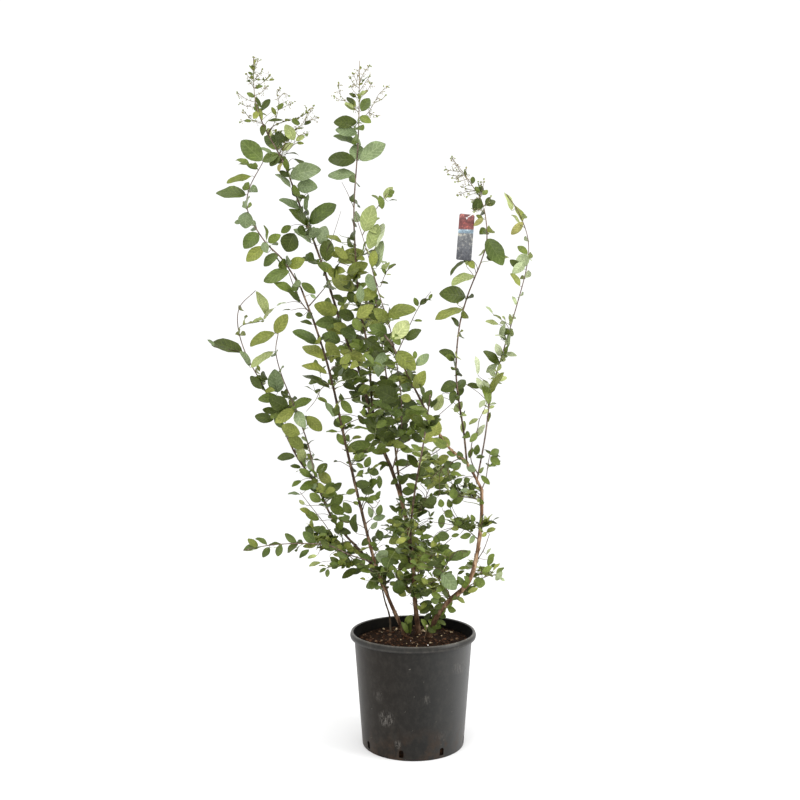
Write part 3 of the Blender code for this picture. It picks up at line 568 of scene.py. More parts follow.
# Shoots that the view shows singly: name, the limbs that may carry it, foot and tip
# radius in mm, how far it moves back (m) by its tip, and its points in the view.
SHOOTS = [
    ("shoot_arch_twin", "stem_left", 1.3, .8, .010, [(309, 315), (301.7, 303), (294.7, 289), (289, 273)]),
    ("shoot_cross_a", "stem_left", 1.5, .9, .060, [(309.7, 307), (317, 297), (324.6, 288)]),
    ("shoot_thin_right", "bough_right_arch", 1.2, .6, -.020, [(474, 474), (471, 459.5), (472.3, 441), (477.4, 429.6), (479.3, 420), (484, 410), (487, 402)]),
    ("shoot_thin_left", "stem_left", 1.3, .6, .040, [(373, 577), (354, 560), (333.8, 537), (324, 523), (309.5, 504.5), (300, 492)]),
    ("shoot_span", "bough_front", 1.0, .6, -.030, [(400.4, 446), (412, 438), (432, 421), (448, 407), (453, 403)]),
    ("shoot_hang_left", "stem_left", .9, .5, -.010, [(331, 383), (321.6, 388.5), (315.3, 400.6), (306.3, 411.4)]),
    ("shoot_bud_left", "stem_left", .8, .5, .000, [(350, 468), (345, 464), (340, 461.5), (333.6, 462)]),
    ("shoot_low_right", "stem_right", 1.3, .7, .015, [(474, 570), (476.8, 561), (483.8, 549.5), (489.5, 534)]),
    ("shoot_side", "bough_crossing", 1.1, .5, .030, [(400, 352), (405, 336), (411, 322.5), (419.3, 306.5), (431, 291.5)]),
    ("shoot_light", "bough_front", 1.0, .6, -.010, [(371, 262), (378.5, 287), (384, 277), (387, 271), (396, 264)]),
    ("shoot_front_top", "bough_front", 1.0, .5, -.010, [(362, 235), (372, 216), (379, 205), (388, 192), (391, 189)]),
    ("shoot_mid_a", "bough_top_centre", .9, .4, .010, [(355, 213), (353, 206), (347, 192), (341.7, 182)]),
    ("shoot_mid_b", "stem_centre", .9, .4, -.020, [(322, 262), (330, 244), (335, 230), (341, 211)]),
    ("shoot_low_a", "stem_left", 1.4, .7, .030, [(388, 598), (380, 578), (372, 566), (362, 556), (352, 549)]),
    ("shoot_low_b", "stem_left", 1.4, .7, -.050, [(391, 603), (386, 586), (378, 572), (366, 566), (352, 562), (338, 565)]),
    ("shoot_low_c", "stem_centre", 1.4, .7, -.060, [(415, 601), (408, 588), (398, 579), (388, 572)]),
    ("shoot_low_d", "stem_centre", 1.4, .7, -.050, [(412.3, 585), (420, 570), (432, 556), (444, 545), (452, 538)]),
    ("shoot_low_e", "stem_right", 1.4, .7, -.040, [(452, 600), (446, 588), (444, 574), (449, 560), (458, 551), (468, 552)]),
    ("shoot_low_f", "stem_right", 1.3, .7, .030, [(458, 590), (466, 588), (476, 582), (488, 576), (499, 575)]),
    ("shoot_low_g", "stem_right", 1.2, .7, .010, [(478, 540), (470, 532), (462, 527), (452, 524)]),
    ("shoot_low_h", "stem_centre", 1.2, .7, -.020, [(408, 528), (416, 516), (424, 502), (430, 488), (440, 480)]),
    ("shoot_low_i", "stem_centre", 1.1, .6, .010, [(405, 513), (400, 506), (396, 498)]),
    ("shoot_mid_c", "stem_centre", 1.3, .7, -.030, [(392, 475), (404, 468), (420, 460), (436, 452), (448, 442)]),
    ("shoot_mid_d", "bough_crossing", 1.1, .6, -.020, [(462, 458), (452, 462), (442, 468), (432, 478)]),
    ("shoot_mid_e", "stem_left", 1.1, .6, .030, [(361, 509), (364, 500), (369, 490), (376, 478)]),
    ("shoot_mid_f", "stem_left", 1.1, .6, -.010, [(362, 512), (366, 502), (374, 508), (380, 500)]),
    ("shoot_mid_g", "stem_left", 1.0, .6, .020, [(351, 466), (356, 459), (363, 452), (370, 447)]),
    ("shoot_fork_right", "stem_right", 1.2, .7, .020, [(482, 490), (486, 478), (488, 464), (490, 454)]),
]

# Leaves that the view shows singly, by the limbs that carry them. Each row is where its
# foot falls, where its tip falls, how wide it looks and its tint, in a plot whose
# corner and scale stand first.
KEY_LEAVES = [
    ((200, 45), 5, "stem_left bough_left_arch shoot_arch_twin shoot_cross_a", [
        (310, 578, 205, 478, 88, "M"), (257, 655, 133, 690, 46, "O"),
        (228, 748, 80, 742, 70, "M"), (236, 835, 225, 918, 74, "B"),
        (212, 880, 172, 890, 24, "B"), (228, 818, 215, 780, 16, "L"),
        (290, 940, 220, 1018, 72, "M"), (340, 985, 405, 950, 44, "G"),
        (335, 1040, 318, 985, 42, "B"), (318, 1010, 232, 1083, 62, "O"),
        (392, 1045, 318, 1105, 52, "M"), (447, 1110, 524, 1070, 58, "O"),
        (445, 1130, 318, 1183, 64, "M"), (465, 1235, 370, 1192, 44, "G"),
        (500, 1290, 440, 1225, 28, "D"), (508, 1190, 578, 1242, 42, "G"),
        (552, 1248, 580, 1268, 18, "B"), (432, 1290, 380, 1308, 12, "B"),
        (455, 1326, 412, 1328, 8, "D"), (515, 1352, 475, 1345, 24, "D"),
        (560, 1398, 500, 1382, 22, "D"), (590, 1495, 462, 1432, 54, "M")]),
    ((200, 45), 5, "stem_centre shoot_mid_b", [
        (412, 515, 322, 455, 68, "M"), (425, 490, 378, 435, 44, "D"),
        (472, 475, 426, 398, 52, "L"), (392, 545, 312, 582, 50, "M"),
        (405, 545, 350, 605, 46, "D"), (365, 545, 300, 515, 24, "B"),
        (408, 590, 396, 634, 24, "Y"), (452, 655, 605, 622, 92, "B"),
        (425, 548, 495, 552, 16, "D"), (470, 570, 545, 625, 24, "D"),
        (487, 705, 588, 712, 76, "B"), (540, 745, 532, 830, 30, "B"),
        (452, 715, 375, 645, 30, "B"), (502, 828, 395, 773, 44, "B"),
        (540, 900, 442, 822, 52, "D"), (550, 897, 680, 795, 84, "M"),
        (455, 905, 405, 938, 36, "G"), (470, 942, 432, 1034, 96, "D"),
        (557, 992, 466, 922, 38, "B"), (600, 995, 628, 904, 64, "B"),
        (632, 1082, 640, 970, 74, "D"), (588, 1088, 672, 1143, 46, "G"),
        (455, 470, 425, 440, 34, "D"), (385, 590, 430, 560, 36, "G"),
        (410, 530, 455, 490, 34, "O"), (390, 520, 345, 500, 30, "G")]),
    ((200, 45), 5, "bough_top_centre", [
        (784, 385, 668, 388, 62, "D"), (786, 440, 676, 424, 54, "B"),
        (780, 502, 668, 455, 52, "M"), (790, 577, 778, 497, 74, "B"),
        (800, 575, 926, 492, 80, "B"), (777, 577, 640, 572, 74, "D"),
        (778, 652, 640, 654, 62, "B"), (806, 330, 848, 266, 52, "M"),
        (798, 360, 856, 388, 40, "G"), (777, 312, 735, 266, 32, "O"),
        (772, 318, 722, 290, 22, "L"), (780, 262, 752, 244, 18, "D"),
        (800, 250, 830, 232, 22, "L"), (690, 1080, 822, 1032, 74, "O"),
        (735, 1140, 840, 1092, 62, "O"), (772, 1225, 660, 1158, 78, "O"),
        (738, 1072, 672, 1010, 42, "O"), (760, 1290, 752, 1226, 46, "D"),
        (780, 1225, 835, 1190, 30, "G")]),
    ((200, 45), 5, "bough_front shoot_light shoot_front_top", [
        (822, 932, 868, 800, 84, "L"), (845, 1020, 890, 894, 64, "L"), (882, 1012, 918, 892, 52, "P"),
        (884, 1112, 914, 978, 58, "P"), (862, 1110, 872, 1024, 46, "O"), (912, 820, 898, 752, 34, "G"),
        (930, 745, 938, 718, 22, "L"), (945, 748, 972, 728, 24, "G"),
        (935, 760, 965, 750, 18, "G"), (940, 782, 985, 778, 10, "D"),
        (928, 1150, 908, 1108, 20, "G"), (940, 1125, 980, 1095, 20, "G"),
        (900, 1188, 942, 1192, 15, "D"), (930, 1150, 956, 1150, 8, "L"),
        (872, 1230, 838, 1145, 54, "B"), (810, 1278, 882, 1212, 62, "O"),
        (800, 1290, 805, 1202, 42, "B"), (785, 1360, 868, 1300, 60, "O"),
        (940, 1380, 868, 1318, 60, "O"), (935, 1445, 845, 1402, 66, "M"),
        (800, 1430, 770, 1365, 48, "G"), (935, 1350, 1082, 1325, 72, "O")]),
    ((200, 45), 5, "stem_centre bough_top_centre bough_front", [
        (692, 1340, 570, 1300, 74, "O"), (770, 1365, 690, 1335, 60, "D"),
        (690, 1385, 576, 1392, 64, "M"), (702, 1482, 610, 1450, 68, "M"),
        (782, 1460, 702, 1422, 60, "M"), (640, 1330, 640, 1262, 40, "G"),
        (740, 1420, 660, 1400, 48, "O"), (690, 1300, 740, 1260, 36, "G")]),
    ((200, 45), 5, "bough_crossing shoot_side", [
        (965, 1470, 1042, 1380, 78, "L"), (1028, 1472, 1107, 1424, 48, "D"),
        (1090, 1305, 1070, 1263, 27, "G"), (1100, 1300, 1133, 1268, 27, "D"),
        (1125, 1275, 1158, 1278, 9, "D"), (1070, 1380, 1112, 1380, 15, "G"),
        (1000, 1500, 960, 1440, 40, "G")]),
    ((200, 45), 5, "bough_label", [
        (1435, 970, 1514, 1102, 86, "M"), (1332, 1105, 1306, 1028, 34, "L"),
        (1342, 1078, 1372, 1118, 34, "O"), (1348, 1076, 1252, 1152, 22, "D"),
        (1372, 1152, 1258, 1202, 52, "L"), (1327, 1255, 1196, 1242, 84, "D"),
        (1314, 1320, 1176, 1375, 48, "O"), (1292, 1408, 1256, 1362, 26, "D"),
        (1424, 800, 1478, 782, 34, "D"), (1428, 800, 1450, 760, 26, "D"),
        (1402, 765, 1368, 830, 46, "D"), (1408, 790, 1388, 828, 34, "D"),
        (1410, 740, 1400, 700, 28, "D"), (1412, 750, 1440, 726, 24, "G"),
        (1360, 695, 1366, 658, 26, "D"), (1416, 868, 1368, 905, 30, "Y"),
        (1416, 872, 1380, 850, 22, "O"), (1330, 655, 1322, 628, 16, "D")]),
    ((200, 45), 5, "bough_right_arch", [
        (1557, 828, 1520, 736, 36, "L"), (1612, 882, 1570, 804, 38, "O"),
        (1617, 885, 1556, 948, 40, "Y"), (1638, 1045, 1588, 1006, 34, "G"),
        (1642, 1050, 1578, 1112, 66, "P"), (1600, 1118, 1549, 1074, 38, "D"),
        (1622, 1088, 1562, 1145, 50, "P"), (1600, 1205, 1552, 1142, 34, "O"),
        (1580, 1300, 1560, 1256, 20, "P"), (1462, 1342, 1427, 1307, 16, "P"),
        (1492, 1396, 1427, 1382, 26, "L"), (1508, 1470, 1527, 1396, 26, "P"),
        (1530, 1500, 1545, 1460, 22, "P")]),
    ((200, 45), 5, "bough_outer_left_arch bough_inner_left bough_outer_left", [
        (280, 1232, 338, 1355, 44, "L"), (375, 1440, 438, 1346, 62, "O"),
        (374, 1440, 250, 1506, 60, "O")]),
    ((225, 330), 5, "bough_outer_left_arch bough_outer_left bough_inner_left", [
        (85, 118, -68, 62, 66, "D"), (122, 185, 74, 105, 28, "B"),
        (245, 108, 128, 188, 46, "L"), (160, 175, 172, 208, 16, "O"),
        (262, 312, 250, 195, 84, "B"), (205, 264, 135, 240, 20, "D"),
        (262, 332, 165, 348, 52, "G"), (312, 388, 218, 340, 80, "D"),
        (242, 448, 149, 430, 54, "D"), (290, 382, 230, 442, 58, "G"),
        (345, 398, 250, 464, 58, "O"), (355, 408, 402, 490, 58, "B"),
        (330, 396, 434, 345, 46, "G"), (410, 430, 484, 504, 60, "O"),
        (376, 520, 283, 480, 66, "O"), (392, 590, 318, 530, 60, "O"),
        (396, 658, 358, 578, 46, "L"), (350, 632, 261, 640, 40, "D"),
        (378, 686, 325, 680, 20, "D"), (432, 735, 371, 694, 36, "G"),
        (440, 706, 420, 652, 38, "B"), (458, 715, 511, 668, 42, "D"),
        (532, 768, 468, 710, 52, "O"), (380, 754, 335, 785, 24, "G"),
        (446, 760, 374, 796, 44, "G"), (480, 857, 424, 818, 48, "G"),
        (492, 816, 546, 764, 44, "G"), (375, 822, 314, 821, 13, "B"), (398, 872, 370, 850, 20, "L"),
        (528, 882, 589, 824, 52, "G"), (470, 950, 398, 905, 40, "G"), (430, 920, 372, 895, 26, "O"),
        (560, 1000, 590, 950, 40, "G"), (470, 790, 420, 770, 30, "B")]),
    ((225, 330), 5, "stem_left shoot_hang_left shoot_bud_left shoot_mid_e shoot_mid_f shoot_mid_g", [
        (495, 140, 387, 84, 58, "O"), (508, 218, 382, 180, 42, "O"),
        (522, 293, 386, 226, 28, "D"), (500, 362, 542, 434, 28, "B"),
        (462, 340, 512, 362, 20, "G"), (545, 430, 568, 376, 36, "D"),
        (580, 352, 636, 416, 44, "G"), (552, 450, 638, 444, 42, "G"),
        (562, 508, 505, 510, 14, "G"), (598, 498, 652, 477, 14, "D"),
        (640, 492, 720, 502, 11, "G"), (602, 575, 560, 518, 38, "G"),
        (562, 655, 543, 657, 9, "D"), (740, 945, 802, 930, 34, "B"), (655, 1012, 655, 920, 42, "D"),
        (672, 870, 640, 860, 20, "G")]),
    ((225, 330), 5, "stem_centre shoot_mid_c shoot_low_i bough_front", [
        (752, 588, 617, 580, 68, "G"), (740, 604, 650, 622, 26, "D"),
        (792, 112, 768, 236, 62, "B"), (862, 348, 746, 290, 86, "D"),
        (905, 305, 888, 250, 34, "B"), (905, 600, 1062, 686, 22, "L"), (800, 520, 755, 480, 44, "D"),
        (830, 560, 905, 585, 40, "O"), (760, 600, 810, 560, 40, "G"),
        (850, 470, 800, 440, 46, "G"), (862, 500, 915, 470, 40, "D"),
        (720, 380, 690, 320, 40, "D"), (700, 470, 665, 425, 30, "D"),
        (745, 520, 700, 560, 36, "G")]),
    ((225, 330), 5, "bough_crossing bough_front shoot_span shoot_mid_c shoot_mid_d", [
        (858, 108, 952, 202, 82, "O"), (948, 292, 1002, 204, 60, "O"),
        (950, 145, 950, 105, 23, "G"), (956, 178, 1019, 120, 46, "B"),
        (985, 366, 1034, 300, 44, "D"), (1045, 530, 1066, 452, 58, "O"),
        (1112, 586, 1034, 544, 46, "G"), (1030, 540, 970, 514, 34, "G"),
        (992, 462, 918, 412, 52, "O"), (1010, 600, 985, 585, 22, "P"), (900, 420, 960, 380, 46, "G"),
        (935, 520, 990, 560, 44, "D"), (930, 350, 880, 330, 44, "O")]),
    ((225, 330), 5, "bough_label", [
        (1152, 140, 1070, 104, 44, "D"), (1148, 146, 1100, 128, 36, "G"),
        (1146, 200, 1128, 184, 15, "D"), (1156, 264, 1078, 302, 58, "D"),
        (1144, 300, 1132, 370, 40, "D"), (1152, 292, 1204, 252, 42, "D"),
        (1085, 322, 1050, 404, 52, "L"), (1060, 345, 1030, 390, 22, "D"),
        (1186, 358, 1148, 410, 40, "L"), (1190, 516, 1196, 454, 29, "L")]),
    ((225, 330), 5, "bough_right_arch shoot_thin_right shoot_fork_right", [
        (1212, 272, 1276, 288, 30, "D"), (1264, 222, 1252, 130, 28, "P"),
        (1373, 173, 1291, 106, 46, "D"), (1360, 172, 1306, 212, 33, "P"),
        (1325, 314, 1398, 213, 30, "O"), (1318, 374, 1288, 268, 46, "G"),
        (1378, 130, 1354, 68, 36, "P"), (1396, 118, 1460, 130, 26, "P"),
        (1414, 90, 1425, 22, 16, "P"), (1266, 444, 1220, 473, 22, "L"),
        (1262, 515, 1224, 560, 31, "G"), (1260, 532, 1299, 473, 25, "P"),
        (1315, 460, 1326, 410, 17, "O"), (1290, 300, 1258, 238, 32, "P"),
        (1316, 398, 1284, 420, 22, "L"), (1300, 350, 1272, 390, 24, "P"),
        (1290, 250, 1320, 290, 26, "P"), (1240, 590, 1220, 640, 24, "G")]),
    ((225, 330), 5, "stem_centre shoot_low_h shoot_low_c shoot_low_d bough_fore", [
        (990, 1150, 1058, 1095, 46, "O"), (900, 1010, 960, 985, 34, "O"),
        (1050, 790, 1110, 750, 50, "G"), (900, 1110, 850, 1090, 36, "B"), (930, 1190, 880, 1160, 40, "G")]),
    ((225, 330), 5, "stem_right shoot_low_e shoot_low_f shoot_low_g shoot_low_right", [
        (1084, 1212, 1156, 1298, 72, "B"), (1354, 1252, 1386, 1208, 28, "P"), (1370, 1240, 1399, 1254, 15, "P"),
        (1100, 1270, 1055, 1310, 34, "G")]),
    ((225, 330), 5, "shoot_left shoot_thin_left shoot_low_a shoot_low_b", [
        (164, 1082, 114, 1043, 33, "O"), (162, 1080, 91, 1102, 30, "M"),
        (211, 1073, 151, 1043, 19, "M"), (222, 1086, 188, 1137, 34, "M"),
        (286, 1075, 217, 1076, 12, "D"), (280, 1072, 262, 1132, 36, "M"),
        (359, 1067, 300, 1017, 37, "M"), (367, 1069, 312, 1113, 30, "D"),
        (453, 1067, 390, 1008, 46, "M"), (520, 1016, 427, 992, 34, "M"),
        (419, 1099, 373, 1142, 27, "M"), (458, 1128, 412, 1142, 18, "L"),
        (476, 1162, 419, 1183, 19, "L"), (506, 1192, 471, 1212, 16, "M"),
        (515, 1195, 510, 1236, 24, "M"), (570, 1170, 532, 1192, 26, "M"),
        (562, 1080, 497, 1092, 38, "D"), (600, 1060, 640, 1110, 36, "O"),
        (560, 1110, 610, 1140, 30, "M"),
        (480, 1050, 520, 1090, 32, "D"), (700, 1150, 660, 1190, 34, "M"),
        (540, 1030, 500, 1000, 30, "O")]),
    ((290, 230), 5, "stem_centre bough_top_centre bough_front bough_crossing", [
        (180, 495, 290, 525, 50, "O"), (260, 495, 380, 510, 36, "D"),
        (180, 560, 250, 650, 60, "O"), (250, 605, 380, 655, 60, "O"),
        (370, 545, 460, 600, 50, "D"), (210, 690, 330, 750, 60, "D"),
        (300, 665, 390, 690, 30, "O"), (430, 765, 550, 800, 60, "D"),
        (425, 818, 484, 786, 50, "D"), (440, 872, 548, 862, 56, "D"),
        (466, 836, 540, 800, 46, "M"), (360, 765, 330, 830, 40, "D"),
        (225, 945, 255, 985, 44, "D"), (560, 850, 640, 890, 50, "D"),
        (600, 960, 655, 1000, 46, "D"), (415, 930, 470, 900, 34, "G"),
        (240, 700, 225, 745, 30, "G"), (265, 770, 330, 800, 36, "D"),
        (290, 700, 345, 735, 40, "G"), (205, 610, 160, 655, 34, "O"),
        (320, 560, 270, 590, 34, "G"), (300, 525, 350, 560, 30, "D"),
        (555, 545, 590, 510, 30, "G"), (470, 560, 500, 520, 30, "D")]),
    ((330, 380), 5, "stem_left stem_centre stem_right bough_front bough_crossing "
     "shoot_low_c shoot_low_d shoot_low_e shoot_low_f shoot_low_g shoot_low_h shoot_mid_c", [
        (500, 845, 620, 870, 40, "G"),
        (270, 855, 350, 895, 50, "G"), (445, 590, 520, 640, 44, "D"),
        (440, 545, 380, 520, 30, "G"),
        (350, 520, 400, 470, 36, "D"), (505, 480, 570, 430, 52, "D"), (560, 500, 620, 480, 36, "G"),
        (300, 350, 240, 360, 26, "O"), (280, 330, 360, 310, 30, "O"),
        (470, 300, 530, 260, 30, "O"), (545, 280, 600, 330, 44, "O"),
        (250, 300, 330, 270, 50, "D"), (350, 330, 410, 360, 40, "G"),
        (400, 300, 350, 280, 34, "D")]),
    ((340, 560), 5, "stem_left stem_centre stem_right shoot_low_a shoot_low_e", [
        (440, 330, 480, 360, 40, "D"), (360, 275, 325, 320, 34, "G"),
        (440, 300, 500, 320, 40, "G"), (415, 215, 470, 250, 40, "D"),]),
    ((0, 0), 1, "stem_right stem_centre shoot_low_e shoot_low_d shoot_low_c", [
        (446, 600, 435, 599, 6, "G"), (445, 604, 434, 608, 6, "D"),
        (440, 609, 430, 613, 6, "D"), (441, 597, 431, 593, 6.5, "G"),
        (449, 596, 441, 588, 6, "D"), (455, 598, 465, 603, 4, "O"), (440, 616, 446, 606, 5.5, "G"), (424, 612, 417, 605, 4.5, "O"), (424, 621, 432, 613, 5, "D"), (437, 620, 446, 625, 4, "D"),
        (462, 588, 470, 580, 5.5, "G"), (468, 592, 478, 588, 5, "O"),
        (482, 572, 492, 566, 6, "G"),
        (470, 584, 464, 576, 5, "G"), (460, 594, 452, 600, 5, "D"),
        (414, 592, 405, 588, 6.5, "O"), (406, 596, 398, 589, 8, "O"),
        (408, 588, 399, 580, 6, "G"), (444, 578, 452, 571, 6.5, "D"), (430, 590, 439, 583, 6, "O"),
        (452, 588, 459, 580, 5.5, "G")]),
    ((0, 0), 1, "stem_centre stem_left stem_right", [
        (408, 633, 401, 622, 4.6, "G"), (410, 634, 405, 619, 4.0, "D"),
        (410, 634, 411, 620, 4.5, "D"), (428, 632, 421, 619, 5.0, "G"),
        (437, 622, 431, 611, 5.0, "G")]),
    ((330, 440), 9, "stem_left stem_centre bough_front bough_inner_left shoot_mid_c shoot_mid_d "
     "shoot_mid_e shoot_mid_f shoot_mid_g shoot_low_a shoot_low_c shoot_low_d "
     "shoot_low_h shoot_low_i bough_crossing", [
        (510, 110, 370, 100, 60, "G"), (340, 110, 205, 125, 40, "D"),
        (570, 225, 740, 205, 60, "G"), (700, 130, 790, 250, 70, "D"),
        (550, 230, 430, 215, 40, "D"), (520, 215, 450, 275, 30, "M"),
        (690, 88, 830, 165, 20, "L"), (830, 150, 975, 240, 48, "L"),
        (610, 350, 545, 400, 50, "D"), (600, 330, 680, 350, 50, "M"),
        (690, 330, 850, 370, 60, "D"), (820, 390, 945, 370, 50, "D"),
        (650, 470, 770, 440, 80, "M"), (780, 480, 825, 540, 50, "D"),
        (755, 520, 697, 525, 38, "G"), (770, 560, 860, 610, 60, "D"),
        (860, 600, 960, 545, 60, "D"), (880, 640, 755, 690, 55, "M"),
        (640, 600, 585, 645, 34, "D"), (670, 580, 735, 597, 18, "D"),
        (690, 640, 718, 690, 20, "D"), (605, 750, 505, 725, 45, "O"),
        (650, 765, 590, 805, 36, "O"), (740, 795, 802, 788, 30, "M"),
        (600, 825, 500, 800, 26, "G"), (620, 870, 530, 930, 80, "O"),
        (700, 880, 810, 930, 80, "O"), (640, 900, 690, 830, 50, "G"),
        (300, 250, 237, 205, 44, "G"),
        (300, 272, 240, 325, 44, "G"), (320, 245, 360, 150, 66, "G"),
        (350, 265, 440, 305, 72, "M"), (445, 322, 445, 438, 54, "M"),
        (410, 545, 455, 458, 44, "G"), (230, 400, 370, 390, 80, "D"),
        (280, 440, 400, 470, 80, "D"), (235, 450, 145, 480, 50, "G"),
        (300, 520, 392, 570, 50, "G"), (120, 560, 190, 660, 80, "D"),
        (375, 700, 345, 600, 50, "B"), (430, 680, 460, 582, 60, "M"),
        (425, 740, 370, 800, 50, "B"), (450, 910, 455, 815, 66, "M"),
        (0, 470, 105, 385, 70, "D"), (0, 600, 130, 650, 90, "G"),
        (100, 720, 180, 690, 60, "M"), (60, 800, 190, 840, 60, "D"),
        (360, 880, 285, 950, 60, "D"), (100, 960, 190, 920, 60, "O"),
        (190, 965, 300, 1040, 60, "O"), (520, 1000, 430, 1060, 90, "B")]),
    ((420, 440), 9, "stem_right stem_centre bough_crossing bough_right_arch shoot_fork_right "
     "shoot_mid_c shoot_mid_d shoot_low_e shoot_low_f shoot_low_g shoot_low_right", [
        (330, 130, 240, 110, 60, "G"), (370, 180, 345, 100, 60, "M"),
        (500, 135, 520, 40, 60, "G"), (580, 150, 505, 160, 34, "D"),
        (630, 130, 712, 90, 66, "G"), (635, 150, 720, 225, 70, "G"),
        (420, 230, 500, 280, 66, "B"), (535, 300, 575, 245, 34, "L"),
        (550, 320, 628, 400, 50, "G"), (100, 165, 165, 140, 46, "B"),
        (270, 250, 215, 185, 60, "D"), (260, 250, 150, 320, 70, "M"),
        (270, 250, 370, 210, 60, "M"), (440, 215, 370, 180, 40, "D"),
        (270, 300, 375, 325, 36, "G"), (450, 350, 395, 370, 60, "M"),
        (380, 345, 305, 395, 50, "M"), (110, 380, 5, 380, 50, "D"),
        (215, 335, 60, 450, 60, "O"), (300, 430, 300, 530, 80, "G"),
        (310, 520, 395, 500, 60, "G"), (450, 455, 360, 460, 40, "B"),
        (515, 430, 450, 405, 34, "D"), (520, 460, 475, 475, 26, "D"),
        (150, 520, 50, 560, 80, "D"),
        (225, 640, 295, 690, 76, "G"),
        (205, 670, 190, 795, 62, "M"), (290, 720, 405, 715, 26, "G"),
        (600, 830, 680, 795, 36, "O"), (555, 870, 600, 830, 40, "O"),
        (150, 860, 265, 870, 90, "M"), (380, 1050, 455, 995, 50, "M"), (610, 1075, 670, 1025, 50, "G"),
        (600, 1030, 640, 975, 20, "P")]),
    ((330, 540), 5.863, "stem_left stem_centre stem_right shoot_left shoot_thin_left shoot_low_a "
     "shoot_low_b shoot_low_c shoot_low_d shoot_low_e shoot_low_f shoot_low_right", [
        (285, 240, 212, 280, 44, "M"), (400, 230, 410, 318, 78, "M"),
        (0, 100, 60, 155, 40, "D"), (160, 170, 70, 225, 40, "D"),
        (210, 160, 130, 200, 30, "D"), (245, 120, 165, 85, 34, "M"),
        (700, 120, 825, 70, 50, "M"), (850, 240, 910, 260, 60, "G"),
        (925, 150, 955, 85, 36, "G"), (940, 160, 970, 138, 20, "M"),
        (850, 270, 780, 325, 34, "M"), (690, 400, 740, 415, 40, "G"),
        (680, 400, 715, 350, 36, "G"), (640, 350, 590, 350, 50, "M"),
        (600, 300, 520, 320, 40, "D"), (600, 360, 525, 380, 40, "D"),
        (590, 400, 525, 425, 36, "D"), (620, 420, 680, 455, 40, "D"),
        (600, 480, 650, 520, 36, "M"), (890, 180, 930, 205, 30, "O"),
        (470, 230, 440, 180, 40, "D"), (520, 240, 550, 285, 40, "G"),
        (560, 180, 600, 130, 50, "D"),
        (600, 200, 660, 170, 44, "M"), (540, 120, 560, 60, 66, "O"),
        (370, 150, 300, 110, 60, "M"), (430, 100, 350, 60, 50, "G"),
        (640, 60, 700, 30, 44, "M"), (650, 120, 690, 60, 40, "G"),
        (360, 230, 345, 170, 40, "M")]),
    ((420, 495), 11, "stem_right stem_centre bough_crossing bough_right_arch shoot_fork_right "
     "shoot_mid_c shoot_mid_d shoot_low_e shoot_low_f shoot_low_g shoot_low_right", [
        (430, 340, 345, 378, 72, "O"), (432, 432, 345, 455, 44, "G"),
        (560, 432, 440, 468, 66, "G"), (570, 365, 430, 350, 66, "D"),
        (600, 440, 545, 535, 58, "B"), (600, 290, 560, 215, 52, "G"),
        (245, 440, 140, 515, 84, "G"), (140, 455, 0, 480, 46, "G"),
        (60, 515, 140, 575, 46, "D"), (290, 735, 395, 625, 66, "O"),
        (255, 655, 335, 605, 40, "G"), (160, 720, 235, 800, 70, "D"),
        (180, 830, 280, 770, 56, "D"), (480, 990, 410, 895, 70, "M"),
        (540, 800, 420, 812, 32, "G"), (415, 870, 490, 832, 36, "D"),
        (560, 900, 500, 858, 46, "D"), (600, 1010, 650, 900, 84, "G"),
        (60, 955, 190, 932, 60, "O"), (240, 135, 222, 45, 76, "G"),
        (335, 140, 312, 45, 70, "D"), (350, 85, 480, 30, 76, "G"),
        (100, 240, 92, 170, 20, "D"), (112, 245, 160, 180, 24, "D"),
        (95, 260, 150, 262, 22, "M"), (100, 290, 142, 305, 24, "D")]),
    ((395, 560), 12, "stem_right stem_centre bough_crossing bough_right_arch shoot_fork_right "
     "shoot_mid_c shoot_mid_d shoot_low_e shoot_low_f shoot_low_g shoot_low_right", [
        (200, 60, 330, 20, 70, "O"), (190, 110, 330, 130, 60, "O"),
        (150, 180, 260, 210, 90, "D"), (250, 200, 350, 180, 60, "G"),
        (60, 300, 140, 330, 70, "G"), (290, 330, 360, 290, 60, "O"),
        (20, 120, 60, 250, 70, "G"), (130, 160, 100, 250, 60, "D"),
        (200, 240, 120, 280, 60, "D"), (230, 90, 200, 160, 50, "M"),
        (300, 60, 360, 110, 50, "G")]),
    ((370, 530), 10, "stem_left stem_centre bough_front bough_inner_left shoot_mid_c shoot_mid_d "
     "shoot_mid_e shoot_mid_f shoot_mid_g shoot_low_a shoot_low_c shoot_low_d "
     "shoot_low_h shoot_low_i bough_crossing", [
        (280, 230, 150, 190, 80, "M"), (60, 240, 165, 320, 90, "B"),
        (90, 330, 0, 270, 70, "D"), (290, 330, 190, 290, 60, "D"),
        (370, 330, 290, 230, 80, "G"), (120, 400, 10, 370, 60, "D"),
        (260, 380, 140, 370, 60, "D"), (340, 310, 290, 410, 60, "G"),
        (250, 480, 160, 410, 70, "G"), (110, 450, 0, 430, 60, "D"),
        (60, 470, 10, 595, 100, "G"), (400, 540, 340, 430, 90, "D"),
        (420, 540, 470, 460, 60, "D"), (260, 520, 195, 545, 50, "D"),
        (320, 500, 270, 400, 60, "O"), (70, 160, 0, 120, 50, "G"),
        (150, 150, 195, 172, 30, "D"), (90, 200, 20, 170, 50, "D")]),
]

